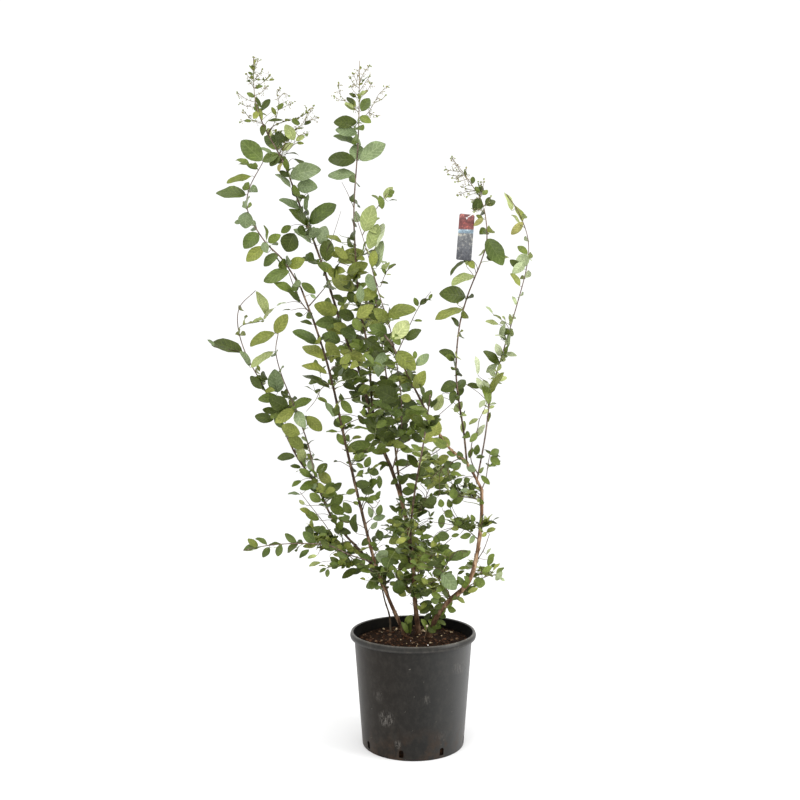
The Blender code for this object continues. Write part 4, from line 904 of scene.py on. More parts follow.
# Small leaves on the bud heads, straight in the view's own pixels.
SMALL_LEAVES = [
    (254.5, 88, 263, 86, 3.8, "G"), (251, 81, 247, 81, 2.6, "D"),
    (254.5, 97, 246.5, 93, 5, "G"), (256, 97, 261, 107.5, 4.2, "D"),
    (270, 99, 261.5, 110.5, 7, "D"), (258.5, 111, 253.5, 119, 6.5, "O"),
    (260, 108, 262, 121, 4.5, "O"), (251.6, 121, 244, 121, 3.5, "G"),
    (276, 115, 271.5, 107, 4.6, "O"), (277.5, 109, 283.5, 103.5, 5, "G"),
    (268, 121, 283, 120, 3.5, "D"), (264, 124, 262.5, 136, 7, "D"),
    (268, 128, 270.5, 137.5, 6, "L"), (300, 124, 291.5, 121, 6, "G"),
    (304, 124, 311.5, 122, 4.6, "D"), (296, 141, 304.5, 135.5, 6, "L"),
    (297, 143, 304, 143.5, 3.5, "O"), (289, 141, 283.5, 136.5, 6, "D"),
    (284, 150, 293.5, 143.5, 6, "L"), (308, 135.5, 304.5, 135, 3, "G"),
    (354, 104, 346.5, 97.5, 5, "D"), (356, 110, 344.5, 104, 5, "L"),
    (355, 97, 349, 93.5, 4, "D"), (362, 95, 368.5, 90, 3.5, "Y"),
]

# Bud heads: the limb that ends in them, and per head the stalk's points in the view
# (first one nearest to the limb) with the number of buds at its end.
HEADS = {
    "stem_centre": [
        ([(254.6, 74), (254.4, 66), (253.3, 57)], 5), ([(254.8, 82), (250, 78), (245.6, 74)], 3),
        ([(254.9, 88), (251.5, 84), (248.5, 81)], 2), ([(254.5, 72), (256.4, 65), (258, 59)], 3),
        ([(254.9, 88), (262, 83), (270, 75)], 4), ([(255.4, 103), (246, 99), (237, 92)], 3),
        ([(255.2, 96), (262, 92), (268, 86)], 3), ([(254.8, 80), (259, 75), (262.5, 69)], 3),
        ([(262, 124), (251, 119), (243, 110)], 3), ([(258, 121), (247, 120), (240, 122)], 3),
        ([(268, 136), (276.6, 117), (278.5, 100.5), (276.6, 94), (280.4, 88.4)], 4),
        ([(278, 106), (282, 103), (286, 102)], 2), ([(277.4, 110), (286, 106), (292.5, 103)], 3),
        ([(278.2, 99), (284, 93), (289, 96)], 2),
        ([(280, 152), (290, 136), (296, 130), (304.6, 121.5), (308.4, 115), (314, 105.6)], 4),
        ([(304.6, 121.5), (312, 120), (318.6, 117.7)], 3), ([(299, 136), (303, 134), (307.8, 134)], 3),
        ([(305, 121), (307, 114), (306.5, 108)], 2),
        ([(255.6, 108), (246, 106), (240, 103)], 2)],
    "bough_top_centre": [
        ([(359, 85), (363, 74), (369.7, 65.4)], 4), ([(357.6, 84), (355, 78), (352.5, 73)], 3),
        ([(357.5, 88), (353, 83), (350.6, 78)], 2), ([(359, 92), (365, 83), (369.7, 76)], 3),
        ([(357.4, 95), (353, 90), (350.6, 86)], 3), ([(358, 112), (345.5, 101), (339.8, 93.5), (338.5, 82.6)], 4),
        ([(360, 99), (367, 91), (371.7, 83)], 3),
        ([(358, 122), (367, 114), (373.6, 104), (379, 94), (387.6, 86.5)], 4),
        ([(369, 112), (374, 115), (377.4, 116.4)], 3), ([(374, 103), (382, 99), (386, 95)], 2),
        ([(357.6, 82), (358, 74), (360.5, 67)], 3), ([(345, 100), (340, 100), (334, 96)], 2)],
    "bough_label": [
        ([(470, 186), (466, 178), (459, 169.5), (455, 164), (452, 156.5)], 4),
        ([(460, 171), (453, 171), (446, 169.5)], 3), ([(459, 169), (458, 167), (457.5, 165)], 2),
        ([(463, 175), (456, 176), (448, 174.5)], 3), ([(463, 175), (457, 178.5), (452, 178)], 2),
        ([(464, 176), (466, 172), (466.3, 167.5)], 3), ([(467, 180), (460, 181), (455, 182)], 2),
        ([(476, 191), (466, 192), (457.8, 195.6)], 3), ([(476, 191), (468, 189), (462, 187)], 2),
        ([(478, 193), (472, 194), (466.5, 197)], 2), ([(480, 195), (483, 187), (484, 179)], 3),
        ([(480, 195), (480, 188), (481, 182)], 2), ([(483, 201), (477, 198), (472, 202)], 2),
        ([(485, 207), (489, 201), (491, 196)], 2), ([(485, 212), (479, 209), (474, 212)], 2)],
}

# ------------------------------------------------------------------ leaves
LONG_S = np.array([0.0, 0.05, 0.14, 0.28, 0.44, 0.60, 0.75, 0.88, 0.96, 1.0])
LONG_T = np.array([-1.0, -0.55, -0.040, 0.040, 0.55, 1.0])
SHORT_S = np.array([0.0, 0.07, 0.26, 0.50, 0.74, 0.92, 1.0])
SHORT_T = np.array([-1.0, -0.05, 0.05, 1.0])


def leaf_template(s, t, mid):
    quads, ribs = [], []
    cols = len(t)
    for i in range(len(s) - 1):
        for k in range(cols - 1):
            quads.append((i * cols + k, i * cols + k + 1, (i + 1) * cols + k + 1,
                          (i + 1) * cols + k))
            ribs.append(1 if k == mid else 0)
    return quads, ribs


LONG_QUADS, LONG_RIBS = leaf_template(LONG_S, LONG_T, 2)
SHORT_QUADS, SHORT_RIBS = leaf_template(SHORT_S, SHORT_T, 1)
TINT_ORDER = "DMGOBLPY"

# The leaf pieces, and the CAD masses that each stands for.
GROUPS = {
    "foliage_left_top": ["leaves_panicle_left", "leaves_panicle_left_side",
                         "leaves_left_top", "leaves_left_upper", "leaves_arch_tip",
                         "leaves_arch"],
    "foliage_centre_top": ["leaves_panicle_centre", "leaves_top_centre", "leaves_light",
                           "leaves_centre_upper", "leaves_side_shoot"],
    "foliage_centre": ["leaves_centre", "leaves_left_mid", "leaves_crossing",
                       "leaves_back", "leaves_fore", "leaves_label_low",
                       "leaves_right_mid"],
    "foliage_right": ["leaves_label", "leaves_panicle_right", "leaves_right_arch",
                      "leaves_right", "leaves_right_side"],
    "foliage_outer_left": ["leaves_outer_tip", "leaves_outer_left", "leaves_outer",
                           "leaves_inner_left"],
    "foliage_skirt": ["leaves_stem_left", "leaves_shoot_left", "leaves_skirt_left",
                      "leaves_skirt", "leaves_skirt_right", "leaves_right_low",
                      "leaves_skirt_back"],
}
GROUP_OF = {mass: g for g, masses in GROUPS.items() for mass in masses}
STATIONS = [(name, np.array(st[:3]), st[3]) for name, row in MASSES.items()
            for st in row[0]]


def group_at(p):
    name = min(STATIONS, key=lambda s: np.linalg.norm(s[1] - p) - s[2])[0]
    return GROUP_OF[name]


shown_leaves = []       # (x, y, axis x, axis y, half length, half width, depth) in the view
leaf_rows = {g: [] for g in GROUPS}      # (foot, tip, side, normal, width, tint, seed)


def add_leaf(foot, tip, side, normal, width, tint, rng, group=None):
    leaf_rows[group or group_at(foot)].append(
        (foot, tip, side, normal, width, tint, rng.random(), rng.random(),
         rng.random(), rng.random()))


def build_leaves(batch, rows):
    for tint_no, tint in enumerate(TINT_ORDER):
        mine = [r for r in rows if r[5] == tint]
        for long_leaf in (True, False):
            part = [r for r in mine
                    if (np.linalg.norm(r[1] - r[0]) >= 0.021) == long_leaf]
            if not part:
                continue
            s, t = (LONG_S, LONG_T) if long_leaf else (SHORT_S, SHORT_T)
            quads, ribs = ((LONG_QUADS, LONG_RIBS) if long_leaf
                           else (SHORT_QUADS, SHORT_RIBS))
            foot = np.array([r[0] for r in part])[:, None, None, :]
            tip = np.array([r[1] for r in part])[:, None, None, :]
            side = np.array([r[2] for r in part])[:, None, None, :]
            normal = np.array([r[3] for r in part])[:, None, None, :]
            width = np.array([r[4] for r in part])[:, None, None]
            k = np.array([r[6:10] for r in part])
            size = np.linalg.norm(tip - foot, axis=-1)
            fold = np.radians(9 + 16 * k[:, 0])[:, None, None]
            arch = (0.035 + 0.075 * k[:, 1])[:, None, None]
            phase, twist = k[:, 2][:, None, None], (k[:, 3] - 0.5)[:, None, None] * 0.7
            ss, tt = s[None, :, None], t[None, None, :]
            shape = 0.035 + 0.965 * np.sin(np.pi * np.clip(ss, 0, 1) ** 0.96) ** 0.68
            shape = shape * np.where(ss >= 0.999, 0.4, 1.0)
            half = shape * width / 2
            lateral = tt * half * np.cos(fold)
            lift = (np.abs(tt) * half * np.sin(fold) + arch * size * 4 * ss * (1 - ss)
                    + 0.022 * size * np.abs(tt) ** 1.5
                    * np.sin(2 * np.pi * (ss * 1.8 + phase + 0.35 * (tt < 0)))
                    - 0.10 * half * tt * tt)
            ang = twist * (ss - 0.5)
            s_now = side * np.cos(ang)[..., None] + normal * np.sin(ang)[..., None]
            n_now = normal * np.cos(ang)[..., None] - side * np.sin(ang)[..., None]
            verts = (foot + ss[..., None] * (tip - foot)
                     + lateral[..., None] * s_now + lift[..., None] * n_now)
            verts = verts.reshape(len(part), len(s) * len(t), 3)
            st = np.empty((len(part), len(s), len(t), 3))
            st[..., 0], st[..., 1] = s[None, :, None], t[None, None, :]
            st[..., 2] = ((k[:, 0] + k[:, 2] * 7.0) % 1.0)[:, None, None]
            batch.add_many(verts, quads, [tint_no * 2 + r for r in ribs], st)


# ------------------------------------------------------------------ twigs
twig_batch = Batch()


def add_twig(name, path, foot_mm, tip_mm, level, sides=6):
    n = len(path)
    radii = np.linspace(foot_mm, tip_mm, n) / 1000.0
    step = np.arange(n)
    radii = radii * (1 + 0.16 * (step % 5 == 2))
    tube(twig_batch, path, radii, sides, 0)
    b = Branch(name, path, radii, level)
    branches.append(b)
    return b


for name, hosts, foot_mm, tip_mm, shift, pts in SHOOTS:
    (host, i), gap = nearest_in_view(*pts[0], only=hosts.split())
    y0 = host.path[i][1]
    rest = [at(px, py, y0 + shift * (k + 1) / (len(pts) - 1))
            for k, (px, py) in enumerate(pts[1:])]
    path = resample(catmull([host.path[i]] + rest, 8), step=0.004)[0]
    add_twig(name, path, foot_mm, tip_mm, 1)
add_twig("shoot_rooted", resample(catmull([
    (-0.050, 0.058, 0.222), at(389.5, 616, 0.060), at(384.9, 600.8, 0.058),
    at(380.7, 583, 0.054), at(375, 566, 0.045), at(366, 552, 0.035)], 8), step=0.004)[0],
    2.3, 0.9, 1)

# ------------------------------------------------------------------ leaves in the view
view_rng = random.Random(71)
for corner, scale, hosts, rows in KEY_LEAVES:
    names = set(hosts.split())
    for bx, by, tx, ty, w, tint in rows:
        b = (corner[0] + bx / scale, corner[1] + by / scale)
        t = (corner[0] + tx / scale, corner[1] + ty / scale)
        w = w / scale
        (host, i), gap = nearest_in_view(*b, only=names, limit=400.0)
        depth = host.path[i][1]
        if gap > 2.5:
            depth += view_rng.uniform(-0.35, 0.25) * gap * 0.0022
        foot = at(*b, depth)
        d = depth - EYE[1]
        flat = math.hypot(t[0] - b[0], t[1] - b[1]) * d / FOCAL
        lean = view_rng.uniform(-0.60, 0.50) * flat
        tip = at(*t, depth + lean)
        if gap > 7.0:
            j = max(0, i - int(min(gap * 0.0022 * 0.9, 0.05) / 0.004))
            start = host.path[j]
            reach = np.linalg.norm(foot - start)
            path = bezier(start, start + host.tan[j] * reach * 0.45,
                          foot - unit(tip - foot) * reach * 0.25, foot, 9)
            tube(twig_batch, path, np.linspace(0.8, 0.5, 9) / 1000, 5, 0)
        elif gap > 1.2:
            start = host.path[i]
            path = bezier(start, start * 0.6 + foot * 0.4, foot - (tip - foot) * 0.08,
                          foot, 5)
            tube(twig_batch, path, np.linspace(0.6, 0.45, 5) / 1000, 5, 0)
        run = max(1e-6, math.hypot(t[0] - b[0], t[1] - b[1]))
        shown_leaves.append(((b[0] + t[0]) / 2, (b[1] + t[1]) / 2, (t[0] - b[0]) / run,
                             (t[1] - b[1]) / run, run / 2 * 0.95, w / 2 + 1.0,
                             max(foot[1], tip[1]) + 0.002))
        axis = tip - foot
        size = np.linalg.norm(axis)
        a = axis / size
        e1 = unit(np.array([-axis[2], 0.0, axis[0]]))
        e2 = np.cross(a, e1)
        shown = w * d / FOCAL * 1.06
        width = max(shown, size * view_rng.uniform(0.46, 0.56))
        roll = math.acos(max(-1.0, min(1.0, shown / width)))
        best = None
        for sign in (1, -1):
            side = e1 * math.cos(roll) + e2 * math.sin(roll) * sign
            normal = unit(np.cross(side, a))
            if normal[1] > 0:
                normal, side = -normal, -side
            if best is None or normal[2] > best[1][2]:
                best = (side, normal)
        add_leaf(foot, tip, best[0], best[1], width, tint, view_rng)

for bx, by, tx, ty, w, tint in SMALL_LEAVES:
    (host, i), gap = nearest_in_view(bx, by, only={"stem_centre", "bough_top_centre"})
    depth = host.path[i][1]
    foot = at(bx, by, depth + view_rng.uniform(-0.008, 0.008))
    tip = at(tx, ty, depth + view_rng.uniform(-0.012, 0.006))
    if gap > 1.0:
        path = bezier(host.path[max(0, i - 3)], host.path[i] * 0.5 + foot * 0.5,
                      foot * 0.9 + host.path[i] * 0.1, foot, 6)
        tube(twig_batch, path, np.full(6, 0.00045), 5, 1)
    axis = tip - foot
    a = unit(axis)
    side = unit(np.array([-axis[2], 0.0, axis[0]]))
    normal = np.cross(side, a)
    if normal[1] > 0:
        normal, side = -normal, -side
    add_leaf(foot, tip, side, normal, w * (depth - EYE[1]) / FOCAL, tint, view_rng)

# ------------------------------------------------------------------ growth rule
UP = np.array([0.0, 0.0, 1.0])
perch = []
for b in branches:
    skip = 14 if b.level == 0 else 2
    for i in range(skip, len(b.path), 2):
        if b.path[i][2] > 0.27:
            perch.append((b, i))
perch_pts = np.array([b.path[i] for b, i in perch])


# Openings of the crown in the view (x, y, radius), where sky or a bare stem shows.
OPENINGS = np.array([
    (326, 393, 4.6), (323, 378, 4.2), (317, 410, 6.5), (324, 420, 6.5), (331, 425, 4.5),
    (324, 447, 12), (339, 454, 5.5), (341, 472, 8), (350, 435, 4.5), (360, 423, 5),
    (374, 377, 4), (391, 376, 3.6), (433, 382, 6.2), (433, 414, 4), (440, 451, 5),
    (434, 449, 3.6), (453, 437, 7.5), (450, 421, 9), (386, 475, 3.8), (387, 490, 5.4),
    (390, 500, 7.6), (389, 512, 4.6), (396, 516, 4), (406, 506, 4), (407, 518, 4.5),
    (409, 530, 3.6), (422, 521, 5), (416, 534, 3.4), (434, 528, 4.2), (460, 510, 7),
    (469, 505, 8), (457, 545, 6), (465, 545, 4), (298, 523, 7.5), (298, 533, 4),
    (305, 562, 4.2), (335, 577, 5), (364, 581, 4.4), (355, 588, 8), (376, 594, 5.2),
    (393, 597, 4), (404, 600, 6.5), (482, 563, 4.2), (453, 566, 4.2), (466, 606, 7),
    (509, 366, 7), (498, 391, 4.6), (467, 284, 5), (486, 262, 4), (383, 289, 5),
    (343, 232, 7), (343, 241, 5), (356, 241, 3.6), (334, 229, 5), (330, 437, 4),
    (480, 440, 4), (494, 397, 4), (446, 402, 3.6), (494, 571, 3.6), (479, 276, 4.5)])


def covers_view(foot, tip, rng):
    """True for a leaf that would close an opening or hide a leaf seen in the view."""
    mid = (foot + tip) / 2
    v = to_view(np.array([mid, tip]))
    near = np.hypot(OPENINGS[:, 0] - v[:, :1], OPENINGS[:, 1] - v[:, 1:2])
    if (near < OPENINGS[:, 2] + np.array([[1.5], [0.0]])).any() and rng.random() < 0.94:
        return True
    dx, dy = v[0, 0] - SHOWN[:, 0], v[0, 1] - SHOWN[:, 1]
    along = (dx * SHOWN[:, 2] + dy * SHOWN[:, 3]) / SHOWN[:, 4]
    beside = (dx * SHOWN[:, 3] - dy * SHOWN[:, 2]) / SHOWN[:, 5]
    inside = (along ** 2 + beside ** 2 < 1.0) & (mid[1] < SHOWN[:, 6])
    return bool(inside.any()) and rng.random() < 0.85


SHOWN = np.array(shown_leaves)


def rand_unit(rng):
    z = rng.uniform(-1, 1)
    a = rng.uniform(0, 2 * math.pi)
    r = math.sqrt(max(0.0, 1 - z * z))
    return np.array([r * math.cos(a), r * math.sin(a), z])


def grow_leaf(point, axis_dir, face_dir, size, tint, rng, group):
    a = unit(axis_dir)
    normal = face_dir - a * np.dot(face_dir, a)
    if np.linalg.norm(normal) < 0.15:
        normal = np.cross(a, np.array([1.0, 0.3, 0.2]))
    normal = unit(normal)
    if normal[2] < 0:
        normal = -normal
    side = np.cross(a, normal)
    if covers_view(point, point + a * size, rng):
        return
    add_leaf(point, point + a * size, side, normal, size * rng.uniform(0.50, 0.64),
             tint, rng, group)


def grow_mass(name, seed):
    stations, deep, shoots, leaf_len, mix, fill = MASSES[name]
    rng = random.Random(seed)
    st = np.array(stations)
    group = GROUP_OF[name]
    for n in range(shoots):
        u = (n + rng.random()) / shoots * (len(st) - 1)
        k = min(int(u), len(st) - 2)
        x, y, z, r = st[k] * (1 - (u - k)) + st[k + 1] * (u - k)
        r = max(0.5 * r, r - 0.25 * leaf_len)
        spin = rng.uniform(0, 2 * math.pi)
        far = fill * math.sqrt(rng.random())
        goal = np.array([x + r * far * math.cos(spin), y + r * deep * far
                         * math.sin(spin) + rng.uniform(-0.2, 0.2) * r,
                         z + rng.uniform(-0.35, 0.35) * r])
        gaps = perch_pts - goal
        dist = np.linalg.norm(gaps, axis=1)
        rise = gaps[:, 2] + 0.30 * dist
        cost = (dist + 0.9 * np.maximum(rise, 0)
                + 0.012 * np.array([rng.random() for _ in range(len(dist))]))
        cost[dist < 0.018] += 0.05
        pick = int(np.argmin(cost))
        b, i = perch[pick]
        start = b.path[i]
        reach = np.linalg.norm(goal - start)
        heading = unit(goal - start)
        lift = unit(heading + 0.45 * UP + 0.35 * rand_unit(rng))
        path = bezier(start, start + reach * 0.35 * unit(b.tan[i] + 0.6 * heading),
                      goal - reach * 0.30 * lift, goal, max(6, int(reach / 0.006)))
        foot_mm = min(1.5, 0.75 + reach * 6, b.radii[i] * 900)
        twig = Branch("twig", path, np.linspace(foot_mm, 0.45, len(path)) / 1000, 2)
        tube(twig_batch, path, twig.radii, 5, 0 if reach > 0.07 else 1)
        outward = np.array([goal[0] + 0.03, goal[1] - 0.02, 0.0])
        outward = outward / max(0.10, np.linalg.norm(outward))
        tan = twig.tan
        flat = unit(np.cross(tan[-1], UP + 0.5 * rand_unit(rng)))
        spacing = leaf_len * rng.uniform(0.34, 0.46)
        first = reach * (0.22 if reach < 0.06 else 0.34)
        spots = np.arange(first, reach * 1.02, spacing)
        spray = rng.choice(mix)
        for m, s in enumerate(spots):
            j = min(len(path) - 1, int(s / reach * (len(path) - 1)))
            done = j / (len(path) - 1)
            for sign in (1, -1):
                if rng.random() < 0.14:
                    continue
                dirn = (tan[j] * rng.uniform(0.25, 0.6) + sign * flat * rng.uniform(0.75, 1)
                        + 0.35 * rand_unit(rng) + 0.10 * UP)
                turn = rng.uniform(0, 2 * math.pi)
                face = (0.42 * UP + 0.50 * outward + 0.35 * rand_unit(rng)
                        + 0.45 * np.array([math.cos(turn), math.sin(turn), 0]))
                size = leaf_len * rng.uniform(0.60, 1.15) * (0.95 - 0.28 * abs(done - 0.6))
                tint = spray if rng.random() < 0.68 else rng.choice(mix)
                grow_leaf(path[j], dirn, face, size, tint, rng, group)
        grow_leaf(path[-1], tan[-1] + 0.25 * rand_unit(rng), 0.6 * UP + 0.6 * outward,
                  leaf_len * rng.uniform(0.7, 1.0), spray, rng, group)


for n, name in enumerate(MASSES):
    grow_mass(name, 1000 + 17 * n)

# Pairs that point to the front and the back on the long bare shoots, so that these are
# as leafy from the sides as from the front.
depth_rng = random.Random(404)
for name, z_from, z_to, step, size, mix in (
        ("stem_centre", 0.86, 1.36, 0.042, 0.044, "DMB"),
        ("stem_left", 0.60, 0.98, 0.050, 0.038, "DGO"),
        ("bough_left_arch", 1.00, 1.22, 0.046, 0.040, "GB"),
        ("bough_top_centre", 0.84, 1.38, 0.044, 0.042, "DMB"),
        ("bough_front", 0.80, 1.12, 0.044, 0.038, "OGL"),
        ("bough_label", 0.68, 1.20, 0.044, 0.036, "DGO"),
        ("bough_right_arch", 0.66, 1.22, 0.046, 0.034, "LPPO"),
        ("bough_outer_left", 0.46, 0.80, 0.036, 0.030, "GDO"),
        ("bough_outer_left_arch", 0.82, 1.00, 0.050, 0.036, "OL"),
        ("bough_inner_left", 0.62, 0.88, 0.040, 0.032, "GOB")):
    b = by_name(name)
    last = -1.0
    run = 0.0
    for i in range(1, len(b.path) - 1):
        run += np.linalg.norm(b.path[i] - b.path[i - 1])
        p = b.path[i]
        if not (z_from < p[2] < z_to) or run - last < step:
            continue
        last = run + depth_rng.uniform(-0.008, 0.008)
        for sign in (1, -1):
            if depth_rng.random() < 0.22:
                continue
            dirn = np.array([depth_rng.uniform(-0.35, 0.35), sign,
                             depth_rng.uniform(-0.15, 0.45)])
            face = np.array([depth_rng.choice((-1, 1)) * depth_rng.uniform(0.6, 1.0),
                             0.0, depth_rng.uniform(0.4, 0.8)])
            grow_leaf(p, dirn, face, size * depth_rng.uniform(0.75, 1.1),
                      depth_rng.choice(mix), depth_rng, None)

# ------------------------------------------------------------------ bud heads
stalk_batch, bud_batch = Batch(), Batch()


def bud(center, axis, radius, slot):
    """A pointed round bud: three rings on an axis, with its own small calyx step."""
    a = unit(axis)
    s = unit(np.cross(a, np.array([0.3, 1.0, 0.2])))
    u = np.cross(a, s)
    rings = [(-0.95, 0.35), (-0.55, 0.86), (0.05, 1.0), (0.62, 0.72)]
    verts = []
    for h, r in rings:
        for k in range(7):
            q = 2 * math.pi * k / 7
            verts.append(center + a * h * radius
                         + (s * math.cos(q) + u * math.sin(q)) * r * radius)
    verts.append(center + a * radius * 1.12)
    faces = []
    for i in range(3):
        for k in range(7):
            m = (k + 1) % 7
            faces.append((i * 7 + k, i * 7 + m, (i + 1) * 7 + m, (i + 1) * 7 + k))
    for k in range(7):
        faces.append((21 + k, 21 + (k + 1) % 7, 28))
    faces.append(tuple(range(6, -1, -1)))
    bud_batch.add(verts, faces, slot)


head_rng = random.Random(9)
for limb, heads in HEADS.items():
    b = by_name(limb)
    made = []
    for pts, count in heads:
        spots = [(np.hypot(v[0] - pts[0][0], v[1] - pts[0][1]), p)
                 for src in [b.path[int(len(b.path) * 0.6):]] + made
                 for v, p in zip(to_view(src), src)]
        start = min(spots, key=lambda x: x[0])[1]
        drift = head_rng.uniform(-0.022, 0.022)
        rest = [at(px, py, start[1] + drift * (k + 1) / len(pts[1:]))
                for k, (px, py) in enumerate(pts[1:])]
        if np.linalg.norm(at(*pts[0], start[1]) - start) > 0.004:
            rest = [at(*pts[0], start[1])] + rest
        path = resample(catmull([start] + rest, 6), step=0.003)[0]
        made.append(path)
        tube(stalk_batch, path, np.linspace(0.70, 0.45, len(path)) / 1000, 6, 0)
        for m in range(1, len(path) - 1):
            if head_rng.random() < 0.34:
                continue
            along_path = unit(path[m + 1] - path[m])
            dirn = unit(along_path * 0.55 + rand_unit(head_rng))
            reach = head_rng.uniform(0.004, 0.011)
            tip = path[m] + dirn * reach
            tube(stalk_batch, np.array([path[m], path[m] + dirn * reach * 0.5
                                        + along_path * 0.0012, tip]),
                 [0.00042, 0.00034, 0.00030], 5, 0)
            bud(tip, dirn, head_rng.uniform(0.0008, 0.0014), head_rng.randrange(2))
            if head_rng.random() < 0.5:
                fork = path[m] + dirn * reach * 0.55
                dirn = unit(dirn * 0.4 + rand_unit(head_rng))
                tube(stalk_batch, np.array([fork, fork + dirn * 0.002,
                                            fork + dirn * 0.0055]),
                     [0.00034, 0.0003, 0.0003], 5, 0)
                bud(fork + dirn * 0.006, dirn, 0.0010, 1)
        end, tan = path[-1], unit(path[-1] - path[-2])
        bud(end, tan, 0.0021, 0)
        for m in range(count - 1):
            back = path[max(1, len(path) - 2 - m)]
            dirn = unit(tan * 0.35 + rand_unit(head_rng) * 0.9)
            tip = back + dirn * head_rng.uniform(0.0035, 0.0065)
            tube(stalk_batch, np.array([back, (back + tip) / 2 + tan * 0.0004, tip]),
                 [0.0004, 0.0004, 0.0004], 5, 0)
            bud(tip, dirn, head_rng.uniform(0.0013, 0.0019), m % 2)

# ------------------------------------------------------------------ bark
bark_batch = {"bark_stems": Batch(), "bark_boughs": Batch()}


def bark_relief(path, radius, sides, seed, depth):
    """Shallow peeling plates and lengthwise ridges, as factors of the radius."""
    out = np.ones((len(path), sides))
    for i, p in enumerate(path):
        for k in range(sides):
            q = 2 * math.pi * k / sides
            v = Vector((math.cos(q) * 1.6 + seed, math.sin(q) * 1.6, p[2] * 34))
            w = Vector((math.cos(q) * 3.1, math.sin(q) * 3.1 + seed, p[2] * 150))
            plate = noise.noise(v)
            out[i, k] = 1 + depth * (0.8 * plate + 0.5 * noise.noise(w)
                                     + (0.35 if plate > 0.18 else 0.0))
    return out


for name, (foot_r, tip_r, rooted, pts) in LIMBS.items():
    b = by_name(name)
    fine, length = resample(np.concatenate([b.path, b.radii[:, None]], axis=1),
                            step=0.0025 if rooted else 0.0035)
    path, radii = fine[:, :3], fine[:, 3].copy()
    d = np.linspace(0, length, len(path))
    radii *= ((0.76 + 0.12 * np.exp(-d / 0.10)) if rooted
              else 0.52 if name == "bough_front" else 0.84)
    if name in HEADS:
        radii *= 1 - 0.30 * np.clip(1 - (length - d) / 0.16, 0, 1)
    gap = 0.030
    radii *= 1 + 0.11 * np.exp(-(((d % gap) - gap / 2) / 0.0022) ** 2) * (radii < 0.0035)
    sides = 16 if rooted else 10
    relief = bark_relief(path, radii, sides, 3.7 * len(name), 0.150 if rooted else 0.05)
    batch = bark_batch["bark_stems" if rooted else "bark_boughs"]
    start = batch.n
    tube(batch, path, radii, sides, 0, lambda n, k: relief)
    ring_slots = []
    for i in range(len(path) - 1):
        z = path[i][2] + 0.05 * noise.noise(Vector((path[i][0] * 30, 1.7,
                                                    path[i][2] * 30)))
        slot = 0 if ((rooted and z < (0.56 if name != "stem_left" else 0.46)
                       ) or (name == "bough_crossing" and z < 0.70)) else (1 if radii[i] > 0.0019 else 2)
        tip_run = length - d[i]
        if name in HEADS and tip_run < 0.15 + 0.02 * noise.noise(Vector((d[i] * 90, 2, 5))):
            slot = 3
        ring_slots.extend([slot] * sides)
    ring_slots.extend([3 if name in HEADS else 2] * sides)
    batch.m[-len(ring_slots):] = ring_slots
    if not rooted and name not in ("bough_crossing", "bough_outer_left"):
        continue
    # Peeling slivers and short spurs, each rooted in the bark.
    flake_rng = random.Random(len(name) * 7 + 3)
    reach_z = 0.62 if name == "stem_right" else 0.70 if not rooted else 0.50
    spots = [i for i in range(6, len(path) - 6) if 0.235 < path[i][2] < reach_z]
    tan_all, s_all, u_all = sweep_frames(path)
    for i in spots:
        if flake_rng.random() > (0.55 if path[i][2] < 0.40 else 0.30):
            continue
        q = flake_rng.uniform(0, 2 * math.pi)
        out_dir = math.cos(q) * s_all[i] + math.sin(q) * u_all[i]
        foot = path[i] + out_dir * radii[i] * 0.72
        spur = flake_rng.random() < 0.22
        reach = flake_rng.uniform(0.004, 0.009) if spur else flake_rng.uniform(0.006, 0.016)
        up = tan_all[i] * (flake_rng.uniform(0.4, 1.0) if spur else
                           flake_rng.choice((-1, 1)) * flake_rng.uniform(0.9, 1.1))
        away = out_dir * (flake_rng.uniform(0.7, 1.0) if spur else 0.0)
        peel = out_dir * flake_rng.uniform(0.0010, 0.0026)
        line = [foot, foot + (up + away) * reach * 0.5 + peel * 0.45,
                foot + (up + away) * reach + peel]
        if spur:
            tube(batch, np.array(line), [0.0007, 0.0006, 0.0004], 5, 1)
        else:
            wide = flake_rng.uniform(0.0008, 0.0016)
            tube(batch, np.array(line), [wide, wide * 0.9, wide * 0.3], 6,
                 flake_rng.choice((0, 0, 1)),
                 lambda n, k: np.array([[1.0, 0.45, 0.45, 1.0, 0.45, 0.45]] * 3))

# ------------------------------------------------------------------ pot
def lathe(batch, profile, sides, slot=0, uneven=None):
    verts, rows = [], []
    for radius, z in profile:
        if radius <= 1e-9:
            rows.append([len(verts)])
            verts.append((0, 0, z))
            continue
        row = []
        for k in range(sides):
            a = 2 * math.pi * k / sides
            x, y = radius * math.cos(a), radius * math.sin(a)
            row.append(len(verts))
            verts.append((x, y, z + (uneven(x, y, z) if uneven else 0.0)))
        rows.append(row)
    faces = []
    for a, b in zip(rows, rows[1:]):
        for k in range(sides):
            n = (k + 1) % sides
            face = []
            for v in (a[k % len(a)], a[n % len(a)], b[n % len(b)], b[k % len(b)]):
                if v not in face:
                    face.append(v)
            faces.append(tuple(face))
    batch.add(verts, faces, slot)


def wall_radius(z):
    top = POT_HEIGHT - POT_LIP_H - 0.004
    return POT_BASE_R + (POT_WALL_TOP_R - POT_BASE_R) * (z - 0.0015) / (top - 0.0015)


